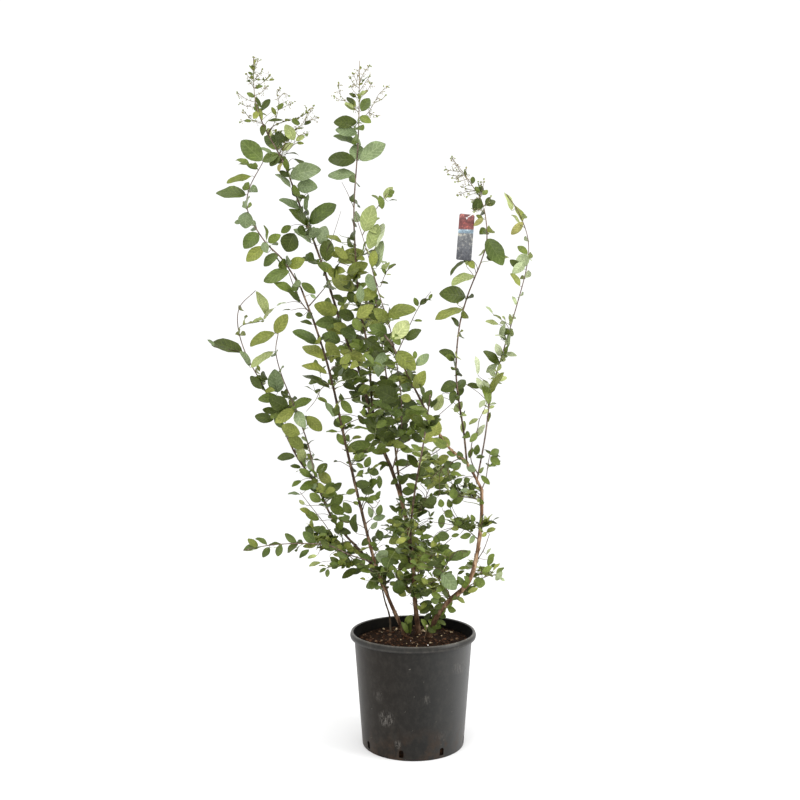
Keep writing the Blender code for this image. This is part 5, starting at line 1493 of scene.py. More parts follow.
def rounded(points, radii, steps=5):
    """Rounds the corners of a profile; radii give each point's rounding in metres."""
    out = []
    for i, (r, z) in enumerate(points):
        if i in (0, len(points) - 1) or radii[i] <= 0:
            out.append((r, z))
            continue
        p, a, b = (np.array(points[i]), np.array(points[i - 1]), np.array(points[i + 1]))
        ra = min(radii[i], np.linalg.norm(a - p) * 0.45, np.linalg.norm(b - p) * 0.45)
        s, e = p + unit(a - p) * ra, p + unit(b - p) * ra
        for k in range(steps + 1):
            t = k / steps
            out.append(tuple((1 - t) ** 2 * s + 2 * (1 - t) * t * p + t * t * e))
    return out


lip0 = POT_HEIGHT - POT_LIP_H
outer = [
    (0.0, 0.0012), (POT_BASE_R - 0.0200, 0.0012), (POT_BASE_R - 0.0185, 0.0000),
    (POT_BASE_R, 0.0), (wall_radius(0.0042), 0.0042), (wall_radius(0.120), 0.120),
    (POT_WALL_TOP_R, lip0 - 0.0030), (POT_WALL_TOP_R + 0.0012, lip0 + 0.0006),
    (POT_LIP_R - 0.0018, lip0 - 0.0002), (POT_LIP_R + 0.0002, lip0 + 0.0060),
    (POT_LIP_R - 0.0030, POT_HEIGHT), (POT_LIP_R - 0.0078, POT_HEIGHT - 0.0014),
    (wall_radius(lip0) - POT_WALL, lip0 - 0.0060),
    (wall_radius(POT_FLOOR) - POT_WALL, POT_FLOOR), (0.0, POT_FLOOR)]
rounding = [0, 0, 0, 0.0022, 0, 0, 0.0014, 0.0010, 0.0016, 0.0050, 0.0046, 0.0026,
            0.0030, 0.0020, 0]
pot_batch = Batch()
lathe(pot_batch, rounded(outer, rounding), 144)

cutters = Batch()
for k in range(SLOT_COUNT):
    a = math.radians(SLOT_TURN - 90.0 + 360.0 * k / SLOT_COUNT)
    outline = []
    for j in range(13):
        t = math.pi * j / 12
        outline.append((math.cos(t) * SLOT_W / 2,
                        SLOT_Z1 - SLOT_W / 2 + math.sin(t) * SLOT_W / 2))
    for j in range(5):
        t = math.pi * (1 + 0.5 * j / 4)
        outline.append((-SLOT_W / 2 + 0.0016 + 0.0016 * math.cos(t),
                        SLOT_Z0 + 0.0016 + 0.0016 * math.sin(t)))
    for j in range(5):
        t = math.pi * (1.5 + 0.5 * j / 4)
        outline.append((SLOT_W / 2 - 0.0016 + 0.0016 * math.cos(t),
                        SLOT_Z0 + 0.0016 + 0.0016 * math.sin(t)))
    m = len(outline)
    verts = []
    for r in (0.1080, 0.1250):
        for x, z in outline:
            verts.append((math.cos(a) * r - math.sin(a) * x,
                          math.sin(a) * r + math.cos(a) * x, z))
    faces = [(j, (j + 1) % m, m + (j + 1) % m, m + j) for j in range(m)]
    faces += [tuple(range(m - 1, -1, -1)), tuple(range(m, 2 * m))]
    cutters.add(verts, faces)


def outward(obj):
    bm = bmesh.new()
    bm.from_mesh(obj.data)
    bmesh.ops.recalc_face_normals(bm, faces=bm.faces)
    bm.to_mesh(obj.data)
    bm.free()
    return obj


def smooth_by_angle(obj, degrees):
    """Keeps edges sharper than the angle crisp."""
    bm = bmesh.new()
    bm.from_mesh(obj.data)
    limit = math.radians(degrees)
    for f in bm.faces:
        f.smooth = True
    for e in bm.edges:
        e.smooth = not (len(e.link_faces) != 2 or e.calc_face_angle(0.0) > limit)
    bm.to_mesh(obj.data)
    bm.free()


pot = outward(pot_batch.make("nursery_pot", []))
cutter = outward(cutters.make("slot_cutters", [], False))
mod = pot.modifiers.new("slots", "BOOLEAN")
mod.operation, mod.solver, mod.object = "DIFFERENCE", "EXACT", cutter
bpy.context.view_layer.update()
cut_mesh = bpy.data.meshes.new_from_object(
    pot.evaluated_get(bpy.context.evaluated_depsgraph_get()))
pot.modifiers.clear()
pot.data = cut_mesh
pot.data.name = "nursery_pot"
bpy.data.objects.remove(cutter)
smooth_by_angle(pot, 42)

# Charcoal plastic: browner and dustier toward -X, far lighter and cooler toward +X as a painted sheen of the light
# from that side, with faint streaks.
mat, nt, bsdf = new_mat("pot_charcoal")
coord = nt.nodes.new("ShaderNodeTexCoord")
split = nt.nodes.new("ShaderNodeSeparateXYZ")
nt.links.new(coord.outputs["Object"], split.inputs["Vector"])
across = nt.nodes.new("ShaderNodeMapRange")
across.inputs["From Min"].default_value = -0.130
across.inputs["From Max"].default_value = 0.130
nt.links.new(split.outputs["X"], across.inputs["Value"])
# Painted sheen: the colour rises steeply toward +X, where the light from the right shines on the wall.
tone = ramp(nt, across.outputs["Result"],
            [(0.0, (0.0080, 0.0044, 0.0010)), (0.30, (0.0062, 0.0040, 0.0018)),
             (0.58, (0.0084, 0.0080, 0.0070)), (0.80, (0.026, 0.026, 0.025)),
             (1.0, (0.062, 0.062, 0.061))])
low = nt.nodes.new("ShaderNodeMapRange")
low.inputs["From Min"].default_value = 0.078
low.inputs["From Max"].default_value = 0.004
nt.links.new(split.outputs["Z"], low.inputs["Value"])
mud_tex = add_noise(nt, 38.0, 6.0, 0.65, (1, 1, 0.7), (0.7, 0.2, 0.1))
mud = ramp(nt, mud_tex.outputs["Fac"], [(0.46, (0, 0, 0)), (0.62, (1, 1, 1))])
mud_mix = nt.nodes.new("ShaderNodeMix")
mud_mix.data_type = "RGBA"
nt.links.new(sum_of(nt, "MULTIPLY", sum_of(nt, "MULTIPLY", low.outputs["Result"], mud),
                    0.75), mud_mix.inputs["Factor"])
socks = [k for k in mud_mix.inputs if k.type == "RGBA"]
nt.links.new(tone, socks[0])
socks[1].default_value = (0.040, 0.022, 0.011, 1)
tone = next(k for k in mud_mix.outputs if k.type == "RGBA")
dust_tex = add_noise(nt, 60.0, 10.0, 0.78, (1, 1, 0.75), (0.3, 0.1, 0.6))
dust = ramp(nt, dust_tex.outputs["Fac"], [(0.46, (0, 0, 0)), (0.70, (1, 1, 1))])
dust_mix = nt.nodes.new("ShaderNodeMix")
dust_mix.data_type = "RGBA"
dust_mix.inputs["B"].default_value = (0.085, 0.076, 0.064, 1)
amount = nt.nodes.new("ShaderNodeMath")
amount.operation = "MULTIPLY"
amount.inputs[1].default_value = 0.17
nt.links.new(dust, amount.inputs[0])
nt.links.new(amount.outputs["Value"], dust_mix.inputs["Factor"])
for sock in dust_mix.inputs:
    if sock.name == "A" and sock.type == "RGBA":
        nt.links.new(tone, sock)
    if sock.name == "B" and sock.type == "RGBA":
        sock.default_value = (0.085, 0.076, 0.064, 1)
out = next(s for s in dust_mix.outputs if s.type == "RGBA")
# Soft smears on the front of the wall, in short upright strokes: dried dust, and high on the +X side a pale mottled
# patch that is a painted sheen.
front = sum_of(nt, "LESS_THAN", split.outputs["Y"], 0.0)
total = None
for sx, sz, wide, tall, much in (
        (-0.058, 0.0860, 0.0200, 0.0200, 0.66), (-0.034, 0.0345, 0.0080, 0.0120, 0.50),
        # (0.0990, 0.1880) is the pale patch high on the +X side: painted sheen.
        (0.0990, 0.1880, 0.0190, 0.0160, 0.34), (0.0270, 0.1330, 0.0070, 0.0150, 0.26),
        (-0.0750, 0.1350, 0.0130, 0.0160, 0.18), (0.0600, 0.0500, 0.0160, 0.0100, 0.16)):
    dx = sum_of(nt, "MULTIPLY", sum_of(nt, "ADD", split.outputs["X"], -sx), 1 / wide)
    dz = sum_of(nt, "MULTIPLY", sum_of(nt, "ADD", split.outputs["Z"], -sz), 1 / tall)
    far = sum_of(nt, "MULTIPLY_ADD", dx, dx, sum_of(nt, "MULTIPLY", dz, dz))
    close = sum_of(nt, "MULTIPLY", sum_of(nt, "MAXIMUM", sum_of(nt, "MULTIPLY_ADD", far,
                                                              -1.0, 1.0), 0.0), much)
    total = close if total is None else sum_of(nt, "MAXIMUM", total, close)
stroke_tex = add_noise(nt, 300.0, 5.0, 0.72, (1, 0.4, 0.30), (0.9, 0.3, 0.4))
strokes = ramp(nt, stroke_tex.outputs["Fac"], [(0.47, (0, 0, 0)), (0.60, (1, 1, 1))])
smears_dust_and_sheen = nt.nodes.new("ShaderNodeMix")
smears_dust_and_sheen.data_type = "RGBA"
nt.links.new(sum_of(nt, "MULTIPLY", sum_of(nt, "MULTIPLY", total, strokes), front),
             smears_dust_and_sheen.inputs["Factor"])
socks = [k for k in smears_dust_and_sheen.inputs if k.type == "RGBA"]
nt.links.new(out, socks[0])
socks[1].default_value = (0.170, 0.158, 0.142, 1)
out = next(s for s in smears_dust_and_sheen.outputs if s.type == "RGBA")
nt.links.new(out, bsdf.inputs["Base Color"])
bsdf.inputs["Roughness"].default_value = 0.40
bsdf.inputs["Specular IOR Level"].default_value = 0.22
grain = add_noise(nt, 900.0, 2.0, 0.6)
add_bump(nt, bsdf, grain.outputs["Fac"], 0.20, 0.0004)
pot_mat = mat
lip_mat, nt, bsdf = new_mat("pot_lip")
coord = nt.nodes.new("ShaderNodeTexCoord")
split = nt.nodes.new("ShaderNodeSeparateXYZ")
nt.links.new(coord.outputs["Object"], split.inputs["Vector"])
up = nt.nodes.new("ShaderNodeMapRange")
up.inputs["From Min"].default_value = lip0 - 0.003
up.inputs["From Max"].default_value = POT_HEIGHT
nt.links.new(split.outputs["Z"], up.inputs["Value"])
# Painted light and shade on the rolled lip by height: a painted shadow on its underside, a painted highlight on a
# low ridge and another on the top edge.
lip_painted_light_and_shade = ramp(nt, up.outputs["Result"], [
    (0.0, (0.004, 0.004, 0.003)), (0.20, (0.008, 0.007, 0.006)),
    (0.34, (0.034, 0.032, 0.028)), (0.50, (0.016, 0.015, 0.013)),
    (0.80, (0.018, 0.017, 0.014)), (0.94, (0.070, 0.065, 0.056)),
    (1.0, (0.120, 0.112, 0.098))])
tex = add_noise(nt, 90.0, 8.0, 0.75, (1, 1, 0.6))
worn = ramp(nt, tex.outputs["Fac"], [(0.36, (0.6, 0.6, 0.6)), (0.52, (1.0, 1.0, 1.0)),
                                     (0.68, (2.0, 1.95, 1.85))])
both = nt.nodes.new("ShaderNodeMix")
both.data_type, both.blend_type = "RGBA", "MULTIPLY"
both.inputs["Factor"].default_value = 1.0
socks = [k for k in both.inputs if k.type == "RGBA"]
nt.links.new(lip_painted_light_and_shade, socks[0])
nt.links.new(worn, socks[1])
nt.links.new(next(k for k in both.outputs if k.type == "RGBA"), bsdf.inputs["Base Color"])
bsdf.inputs["Roughness"].default_value = 0.42
bsdf.inputs["Specular IOR Level"].default_value = 0.26
grain = add_noise(nt, 700.0, 3.0, 0.6)
add_bump(nt, bsdf, grain.outputs["Fac"], 0.25, 0.0004)
# The inside wall: a darker, duller copy of the pot plastic, painted shade inside the pot.
inner_mat, nt, bsdf = new_mat("pot_inside_painted_shade")
tex = add_noise(nt, 40.0, 5.0, 0.6)
nt.links.new(ramp(nt, tex.outputs["Fac"], [(0.35, (0.004, 0.004, 0.004)),
                                          (0.70, (0.010, 0.009, 0.007))]),
             bsdf.inputs["Base Color"])
bsdf.inputs["Roughness"].default_value = 0.8
bsdf.inputs["Specular IOR Level"].default_value = 0.04
pot.data.materials.clear()
for m in (pot_mat, lip_mat, inner_mat):
    pot.data.materials.append(m)
for poly in pot.data.polygons:
    c, n = poly.center, poly.normal
    r = math.hypot(c.x, c.y)
    inward = (c.x * n.x + c.y * n.y) < 0
    if c.z > lip0 - 0.0035 and r > POT_LIP_R - 0.0075:
        poly.material_index = 1
    elif inward and c.z > POT_FLOOR * 0.5 and r > 0.02:
        poly.material_index = 2
    elif n.z > 0.7 and c.z < 0.01:
        poly.material_index = 2
    else:
        poly.material_index = 0

# ------------------------------------------------------------------ soil
soil_batch = Batch()
soil_r = wall_radius(SOIL_Z) - POT_WALL - 0.0008
soil_low = wall_radius(POT_FLOOR + 0.001) - POT_WALL - 0.0008


def soil_height(x, y):
    r = math.hypot(x, y)
    rise = (CROWN_Z - SOIL_Z) * max(0.0, 1 - (r / (CROWN_R * 1.5)) ** 2)
    v = Vector((x * 55, y * 55, 3.1))
    lumps = 0.0017 * noise.noise(v) + 0.0011 * noise.noise(v * 3.3)
    edge = min(1.0, (soil_r - r) / 0.006 + 0.25)
    return SOIL_Z + rise + lumps * edge


profile = [(0.0, POT_FLOOR + 0.0010), (soil_low, POT_FLOOR + 0.0010)]
profile += [(soil_r, SOIL_Z - 0.0015)]
lathe(soil_batch, profile, 120)
rings = [soil_r - 0.0002] + [soil_r * (1 - i / 40) for i in range(1, 40)]
verts, faces = [], []
for r in rings:
    for k in range(120):
        a = 2 * math.pi * k / 120
        x, y = r * math.cos(a), r * math.sin(a)
        verts.append((x, y, soil_height(x, y)))
verts.append((0, 0, soil_height(0, 0)))
for i in range(len(rings) - 1):
    for k in range(120):
        m = (k + 1) % 120
        faces.append((i * 120 + k, i * 120 + m, (i + 1) * 120 + m, (i + 1) * 120 + k))
for k in range(120):
    faces.append(((len(rings) - 1) * 120 + k, (len(rings) - 1) * 120 + (k + 1) % 120,
                  len(verts) - 1))
join = soil_batch.n - 120
start = soil_batch.n
soil_batch.add(verts, faces, 0)
for k in range(120):
    m = (k + 1) % 120
    soil_batch.f.append((join + k, join + m, start + m, start + k))
    soil_batch.m.append(0)

soil_mat, nt, bsdf = new_mat("soil_dark")
tex = add_noise(nt, 180.0, 6.0, 0.7)
nt.links.new(ramp(nt, tex.outputs["Fac"], [(0.36, (0.005, 0.003, 0.002)),
                                          (0.54, (0.016, 0.0070, 0.0026)),
                                          (0.72, (0.060, 0.023, 0.008))]),
             bsdf.inputs["Base Color"])
bsdf.inputs["Roughness"].default_value = 0.95
bsdf.inputs["Specular IOR Level"].default_value = 0.08
fine = add_noise(nt, 520.0, 5.0, 0.7)
add_bump(nt, bsdf, fine.outputs["Fac"], 0.8, 0.0012)
soil = outward(soil_batch.make("soil_surface", [soil_mat]))

# Bark chips and a few pale ones, bedded in the soil's surface.
chip_batch = Batch()
chip_rng = random.Random(31)


def chip(x, y, size, slot, turn=None, slim=None, lift=0.25):
    rng = chip_rng
    z = soil_height(x, y)
    turn = rng.uniform(0, math.pi) if turn is None else turn
    slim = rng.uniform(0.4, 0.9) if slim is None else slim
    tilt = rng.uniform(-0.45, 0.45)
    ax = np.array([math.cos(turn) * math.cos(tilt), math.sin(turn) * math.cos(tilt),
                   math.sin(tilt)])
    ay = unit(np.cross(UP, ax))
    az = np.cross(ax, ay)
    corners = []
    n = 6
    for h in (-1, 1):
        for k in range(n):
            q = 2 * math.pi * k / n + rng.uniform(-0.25, 0.25)
            r = rng.uniform(0.75, 1.1) * (1.0 if h < 0 else 0.8)
            corners.append(np.array([x, y, z + size * lift])
                           + ax * math.cos(q) * r * size
                           + ay * math.sin(q) * r * size * slim
                           + az * h * size * 0.28)
    faces = [(k, (k + 1) % n, n + (k + 1) % n, n + k) for k in range(n)]
    faces += [tuple(range(n - 1, -1, -1)), tuple(range(n, 2 * n))]
    chip_batch.add(corners, faces, slot)


for n in range(640):
    r = soil_r * math.sqrt(chip_rng.random()) * 0.955
    a = chip_rng.uniform(0, 2 * math.pi)
    x, y = r * math.cos(a), r * math.sin(a)
    size = chip_rng.uniform(0.0011, 0.0034) if chip_rng.random() < 0.8 else \
        chip_rng.uniform(0.0034, 0.0058)
    chip(x, y, size, chip_rng.choice((0, 0, 0, 1, 1, 1, 2)) if n % 34 else 3)


def on_soil(px, py, z=SOIL_Z + 0.0025):
    d = (EYE[2] - z) * FOCAL / (py - 400.0)
    return EYE[0] + (px - 400.0) / FOCAL * d, d + EYE[1]


for px, py, size, slot, slim in [
        (427.8, 645.6, 2.4, 4, 0.8), (417.5, 644.5, 1.7, 3, 0.8),
        (419.5, 636.0, 3.4, 3, 0.7), (432.0, 638.0, 1.8, 3, 0.6),
        (452.0, 639.5, 4.0, 2, 0.3), (400.6, 640.5, 2.2, 3, 0.7),
        (406.5, 644.0, 2.0, 3, 0.8), (411.0, 642.0, 1.7, 4, 0.8),
        (364.0, 630.5, 1.9, 3, 0.8), (371.5, 629.7, 1.7, 2, 0.8),
        (382.0, 632.0, 1.9, 3, 0.6), (391.0, 628.5, 1.6, 2, 0.9),
        (394.5, 629.5, 1.7, 3, 0.8), (440.0, 641.0, 2.4, 2, 0.5),
        (386.0, 640.0, 2.4, 2, 0.5), (373.0, 638.0, 2.0, 2, 0.5)]:
    x, y = on_soil(px, py)
    if math.hypot(x, y) < soil_r * 0.96:
        chip(x, y, size / 1000, slot, None, slim, 0.55)

# A dry stalk with its spent bud head, standing in the soil.
foot = np.array([0.0244, 0.0010, 0.2255])
tip = at(427, 626.5, -0.004)
path = resample(catmull([foot, (foot * 0.5 + tip * 0.5) + np.array([0.001, 0, 0]), tip], 8),
                step=0.003)[0]
tube(stalk_batch, path, np.full(len(path), 0.0006), 6, 1)
bud(tip + np.array([0, 0, 0.001]), np.array([0.3, -0.2, 0.9]), 0.0030, 2)

# ------------------------------------------------------------------ pot's dust flecks and painted sheen
fleck_batch = Batch()
fleck_rng = random.Random(5)


def pot_fleck(px, py, length_mm, width_mm, angle):
    """A thin raised pale fleck lying on the pot's wall: dried dust, and in the cluster high on the +X side a painted
    sheen.
    """
    z = EYE[2] - (py - 400.0) / FOCAL * 1.84
    for _ in range(6):
        r = wall_radius(z)
        d = -EYE[1] - math.sqrt(max(1e-6, r * r - (EYE[0] + (px - 400) / FOCAL * 1.85) ** 2))
        z = EYE[2] - (py - 400.0) / FOCAL * d
        x = EYE[0] + (px - 400.0) / FOCAL * d
    a0 = math.atan2(-math.sqrt(max(1e-6, r * r - x * x)), x)
    verts = []
    n = 8
    for k in range(n):
        q = 2 * math.pi * k / n
        u = math.cos(q) * length_mm / 2000 * fleck_rng.uniform(0.75, 1.1)
        v = math.sin(q) * width_mm / 2000 * fleck_rng.uniform(0.75, 1.1)
        du = u * math.cos(angle) - v * math.sin(angle)
        dz = u * math.sin(angle) + v * math.cos(angle)
        rr = wall_radius(z + dz) + 0.00006
        a = a0 + du / r
        verts.append((rr * math.cos(a), rr * math.sin(a), z + dz))
    rr = wall_radius(z) + 0.0002
    verts.append((rr * math.cos(a0), rr * math.sin(a0), z))
    rr = wall_radius(z) - 0.0004
    verts.append((rr * math.cos(a0), rr * math.sin(a0), z))
    faces = [(k, (k + 1) % n, n) for k in range(n)]
    faces += [((k + 1) % n, k, n + 1) for k in range(n)]
    fleck_batch.add(verts, faces, 0)


UPRIGHT = math.pi / 2
# The cluster at (461.5, 667.0) is painted sheen on the pale patch high on the +X side; the others are dried dust.
for cx, cy, rx, ry, count, long_mm, wide_mm in (
        (386.0, 720.5, 6.5, 7.0, 20, 4.6, 0.9), (397.2, 745.5, 3.0, 5.0, 7, 3.4, 1.0),
        (461.5, 667.0, 6.0, 5.0, 8, 3.2, 0.7), (427.5, 699.0, 3.4, 6.0, 4, 3.2, 0.8),
        (380.0, 696.0, 4.5, 6.0, 3, 3.0, 0.7), (440.0, 745.0, 4.0, 3.0, 3, 2.6, 0.9)):
    for k in range(count):
        q, d = fleck_rng.uniform(0, 2 * math.pi), math.sqrt(fleck_rng.random())
        pot_fleck(cx + rx * d * math.cos(q), cy + ry * d * math.sin(q),
              long_mm * fleck_rng.uniform(0.35, 1.25), wide_mm * fleck_rng.uniform(0.6, 1.4),
              UPRIGHT + fleck_rng.gauss(0, 0.45))
for row in [
        (409.6, 669.5, 4.0, 2.4, 0.2), (424, 682, 4, 0.8, UPRIGHT - .4),
        (372, 709, 3.6, 1.8, 0.3),
        (447, 690, 3.6, 1.0, 0.4), (414, 697, 3.4, 1.0, 1.2),
        (436, 722, 3.2, 1.0, 0.8), (378, 698, 8, 1.0, UPRIGHT),
        (381, 694, 6, 0.8, UPRIGHT - .3), (366, 690, 4.0, 1.0, 1.3),
        (444, 740, 5.0, 1.8, 0.5), (371, 738, 4.6, 1.6, 0.2),
        (468, 676, 6, 1.0, 0.7), (452, 712, 5, 0.9, 0.3), (456, 734, 4, 0.9, 0.9),
        (412, 731, 4, 0.9, 0.2), (405, 712, 4, 0.8, 1.0)]:
    px, py, long_mm, wide_mm, angle = row
    parts = max(1, int(round(long_mm / 4.5)))
    for k in range(parts):
        off = ((k + 0.5) / parts - 0.5) * long_mm / 2.22
        pot_fleck(px + off * math.cos(angle) + fleck_rng.uniform(-0.35, 0.35),
              py - off * math.sin(angle), long_mm / parts * fleck_rng.uniform(0.7, 1.25),
              wide_mm * fleck_rng.uniform(0.8, 1.5), angle + fleck_rng.uniform(-0.3, 0.3))

# ------------------------------------------------------------------ tag and tie
def rot_y(a):
    return np.array([[math.cos(a), 0, math.sin(a)], [0, 1, 0],
                     [-math.sin(a), 0, math.cos(a)]])


def rot_z(a):
    return np.array([[math.cos(a), -math.sin(a), 0], [math.sin(a), math.cos(a), 0],
                     [0, 0, 1]])


hole = np.array(TAG_HOLE)
tilt = rot_y(math.radians(4.0)) @ rot_z(math.radians(12.0))
tag_t, hole_r = 0.0012, 0.0028
top, low, half_w = 0.0080, TAG_H - 0.0080, TAG_W / 2
edge = []
for cx, cz, r, a0 in ((half_w - 0.004, top - 0.004, 0.004, 0),
                      (-half_w + 0.004, top - 0.004, 0.004, 90),
                      (-half_w + 0.003, -low + 0.003, 0.003, 180),
                      (half_w - 0.003, -low + 0.003, 0.003, 270)):
    for j in range(7):
        q = math.radians(a0 + 15 * j)
        edge.append((cx + r * math.cos(q), cz + r * math.sin(q)))
edge_ang = [math.atan2(z, x) for x, z in edge]
tag_batch = Batch()
m = len(edge)
loops = []
for t_side in (-1, 1):
    for ring in range(3):
        pts = []
        for (x, z), q in zip(edge, edge_ang):
            if ring == 0:
                px, pz = x, z
            elif ring == 1:
                px, pz = x * 0.985 - 0.0, z
                pull = 0.0004 / max(1e-6, math.hypot(x, z))
                px, pz = x * (1 - pull), z * (1 - pull)
            else:
                px, pz = hole_r * math.cos(q), hole_r * math.sin(q)
            thick = tag_t / 2 * (0.55 if ring == 0 else 1.0)
            bow = 0.0010 * (pz / TAG_H) ** 2 * 3
            pts.append(tilt @ np.array([px, t_side * thick + bow, pz]))
        loops.append([hole + p for p in pts])
verts = [p for loop in loops for p in loop]
faces = []
for a, b in ((0, 1), (1, 2), (3, 0), (4, 3), (5, 4), (2, 5)):
    for k in range(m):
        n = (k + 1) % m
        faces.append((a * m + k, a * m + n, b * m + n, b * m + k))
tag_batch.add(verts, faces, 0)

tag_mat, nt, bsdf = new_mat("tag_card")
coord = nt.nodes.new("ShaderNodeTexCoord")
split = nt.nodes.new("ShaderNodeSeparateXYZ")
nt.links.new(coord.outputs["Object"], split.inputs["Vector"])
span = nt.nodes.new("ShaderNodeMapRange")
span.inputs["From Min"].default_value = float(hole[2] - low)
span.inputs["From Max"].default_value = float(hole[2] + top)
nt.links.new(split.outputs["Z"], span.inputs["Value"])
bands = ramp(nt, span.outputs["Result"], [
    (0.0, (0.052, 0.055, 0.066)), (0.26, (0.095, 0.100, 0.112)),
    (0.58, (0.170, 0.176, 0.180)), (0.60, (0.210, 0.300, 0.370)),
    (0.66, (0.260, 0.350, 0.420)), (0.68, (0.200, 0.060, 0.055)),
    (0.82, (0.150, 0.036, 0.034)), (1.0, (0.230, 0.090, 0.085))])
speck = add_noise(nt, 190.0, 3.0, 0.6)
speck_col = ramp(nt, speck.outputs["Fac"], [(0.38, (0.45, 0.45, 0.45)),
                                            (0.56, (1.0, 1.0, 1.0)),
                                            (0.66, (2.6, 2.4, 1.9))])
mult = nt.nodes.new("ShaderNodeMix")
mult.data_type, mult.blend_type = "RGBA", "MULTIPLY"
mult.inputs["Factor"].default_value = 0.75
socks = [s for s in mult.inputs if s.type == "RGBA"]
nt.links.new(bands, socks[0])
nt.links.new(speck_col, socks[1])
nt.links.new(next(s for s in mult.outputs if s.type == "RGBA"), bsdf.inputs["Base Color"])
bsdf.inputs["Roughness"].default_value = 0.38
tag = outward(tag_batch.make("hang_tag", [tag_mat]))
smooth_by_angle(tag, 30)

label_path = by_name("bough_label").path
stem_pt = min(label_path, key=lambda p: abs(p[2] - (hole[2] + 0.022)))
along = unit(stem_pt - hole)
across_v = np.array([0.0, 1.0, 0.0])
across_v = unit(across_v - along * np.dot(across_v, along))
loop_len = np.linalg.norm(stem_pt - hole) + 0.0055
tie_half, tie_r = 0.0048, 0.0008
centres = []
for j in range(13):
    a = math.pi / 2 + math.pi * j / 12
    centres.append((tie_half + tie_half * math.cos(a), tie_half * math.sin(a)))
for j in range(1, 6):
    u = tie_half + (loop_len - 2 * tie_half) * j / 6
    centres.append((u, -tie_half * (1 - 0.25 * math.sin(math.pi * j / 6))))
for j in range(13):
    a = -math.pi / 2 + math.pi * j / 12
    centres.append((loop_len - tie_half + tie_half * math.cos(a), tie_half * math.sin(a)))
for j in range(1, 6):
    u = loop_len - tie_half - (loop_len - 2 * tie_half) * j / 6
    centres.append((u, tie_half * (1 - 0.25 * math.sin(math.pi * j / 6))))
ring_path = np.array([hole + along * u + across_v * v for u, v in centres])
normal = np.cross(along, across_v)
tie_batch = Batch()
n = len(ring_path)
verts, faces = [], []
for j in range(n):
    t = unit(ring_path[(j + 1) % n] - ring_path[j - 1])
    out_dir = np.cross(t, normal)
    for k in range(8):
        q = 2 * math.pi * k / 8
        verts.append(ring_path[j] + out_dir * tie_r * math.cos(q)
                     + normal * tie_r * math.sin(q))
for j in range(n):
    for k in range(8):
        m = (k + 1) % 8
        faces.append((j * 8 + k, j * 8 + m, ((j + 1) % n) * 8 + m, ((j + 1) % n) * 8 + k))
tie_batch.add(verts, faces, 0)
tie_mat, nt, bsdf = new_mat("tie_white")
tex = add_noise(nt, 300.0, 2.0)
nt.links.new(ramp(nt, tex.outputs["Fac"], [(0.3, (0.62, 0.62, 0.60)),
                                          (0.7, (0.80, 0.80, 0.78))]),
             bsdf.inputs["Base Color"])
bsdf.inputs["Roughness"].default_value = 0.40
tie = outward(tie_batch.make("tag_tie", [tie_mat]))

# ------------------------------------------------------------------ pieces
leaf_mats = []
for t in TINT_ORDER:
    colour, rough = TINTS[t]
    leaf_mats.append(leaf_mat("leaf_" + TINT_NAMES[t], colour, rough))
    rib = tuple(min(1.0, c * k + 0.012) for c, k in zip(colour, (1.35, 1.28, 1.35)))
    leaf_mats.append(leaf_mat("leaf_" + TINT_NAMES[t] + "_rib", rib, 0.5, 0.10, False))

leaf_pieces = {}
for g, rows in leaf_rows.items():
    batch = Batch()
    build_leaves(batch, rows)
    leaf_pieces[g] = batch.make(g, leaf_mats)

bark_low = bark_mat("bark_low", (0.030, 0.014, 0.008), (0.165, 0.092, 0.050),
                    (0.470, 0.320, 0.205), 120.0, (1, 1, 0.30), 0.9)
bark_mid = bark_mat("bark_mid", (0.014, 0.009, 0.006), (0.060, 0.038, 0.024),
                    (0.220, 0.155, 0.100), 130.0, (1, 1, 0.28), 0.8)
bark_thin = bark_mat("bark_thin", (0.055, 0.034, 0.026), (0.130, 0.090, 0.070),
                     (0.270, 0.210, 0.165), 140.0, (1, 1, 0.35), 0.5)
twig_brown = bark_mat("twig_brown", (0.040, 0.026, 0.016), (0.092, 0.064, 0.040),
                      (0.180, 0.140, 0.090), 130.0, (1, 1, 0.4), 0.4, 0.7)
twig_green = bark_mat("twig_green", (0.110, 0.120, 0.050), (0.190, 0.215, 0.085),
                      (0.290, 0.310, 0.140), 130.0, (1, 1, 0.4), 0.3, 0.6)
dry_stalk = bark_mat("dry_stalk", (0.110, 0.062, 0.036), (0.200, 0.130, 0.078),
                     (0.320, 0.230, 0.150), 150.0, (1, 1, 0.4), 0.3, 0.8)
bud_green = bark_mat("bud_green", (0.110, 0.140, 0.035), (0.200, 0.245, 0.070),
                     (0.330, 0.370, 0.130), 210.0, None, 0.2, 0.5)
bud_warm = bark_mat("bud_warm", (0.170, 0.130, 0.050), (0.270, 0.230, 0.090),
                    (0.400, 0.350, 0.160), 210.0, None, 0.2, 0.5)
bud_dead = bark_mat("bud_dead", (0.400, 0.330, 0.230), (0.600, 0.520, 0.390),
                    (0.760, 0.690, 0.560), 210.0, None, 0.2, 0.8)
bark_tip = bark_mat("bark_tip", (0.100, 0.070, 0.045), (0.200, 0.155, 0.100),
                    (0.330, 0.275, 0.185), 140.0, (1, 1, 0.35), 0.4)
bark_mats = [bark_low, bark_mid, bark_thin, bark_tip]
stems = bark_batch["bark_stems"].make("bark_stems", bark_mats)
boughs = bark_batch["bark_boughs"].make("bark_boughs", bark_mats)
twigs = twig_batch.make("twigs", [twig_brown, twig_green])
stalk_olive = bark_mat("stalk_olive", (0.090, 0.072, 0.042), (0.185, 0.158, 0.092),
                       (0.310, 0.280, 0.170), 150.0, (1, 1, 0.4), 0.3, 0.7)
stalks = stalk_batch.make("bud_stalks", [stalk_olive, dry_stalk])
buds = bud_batch.make("flower_buds", [bud_green, bud_warm, bud_dead])
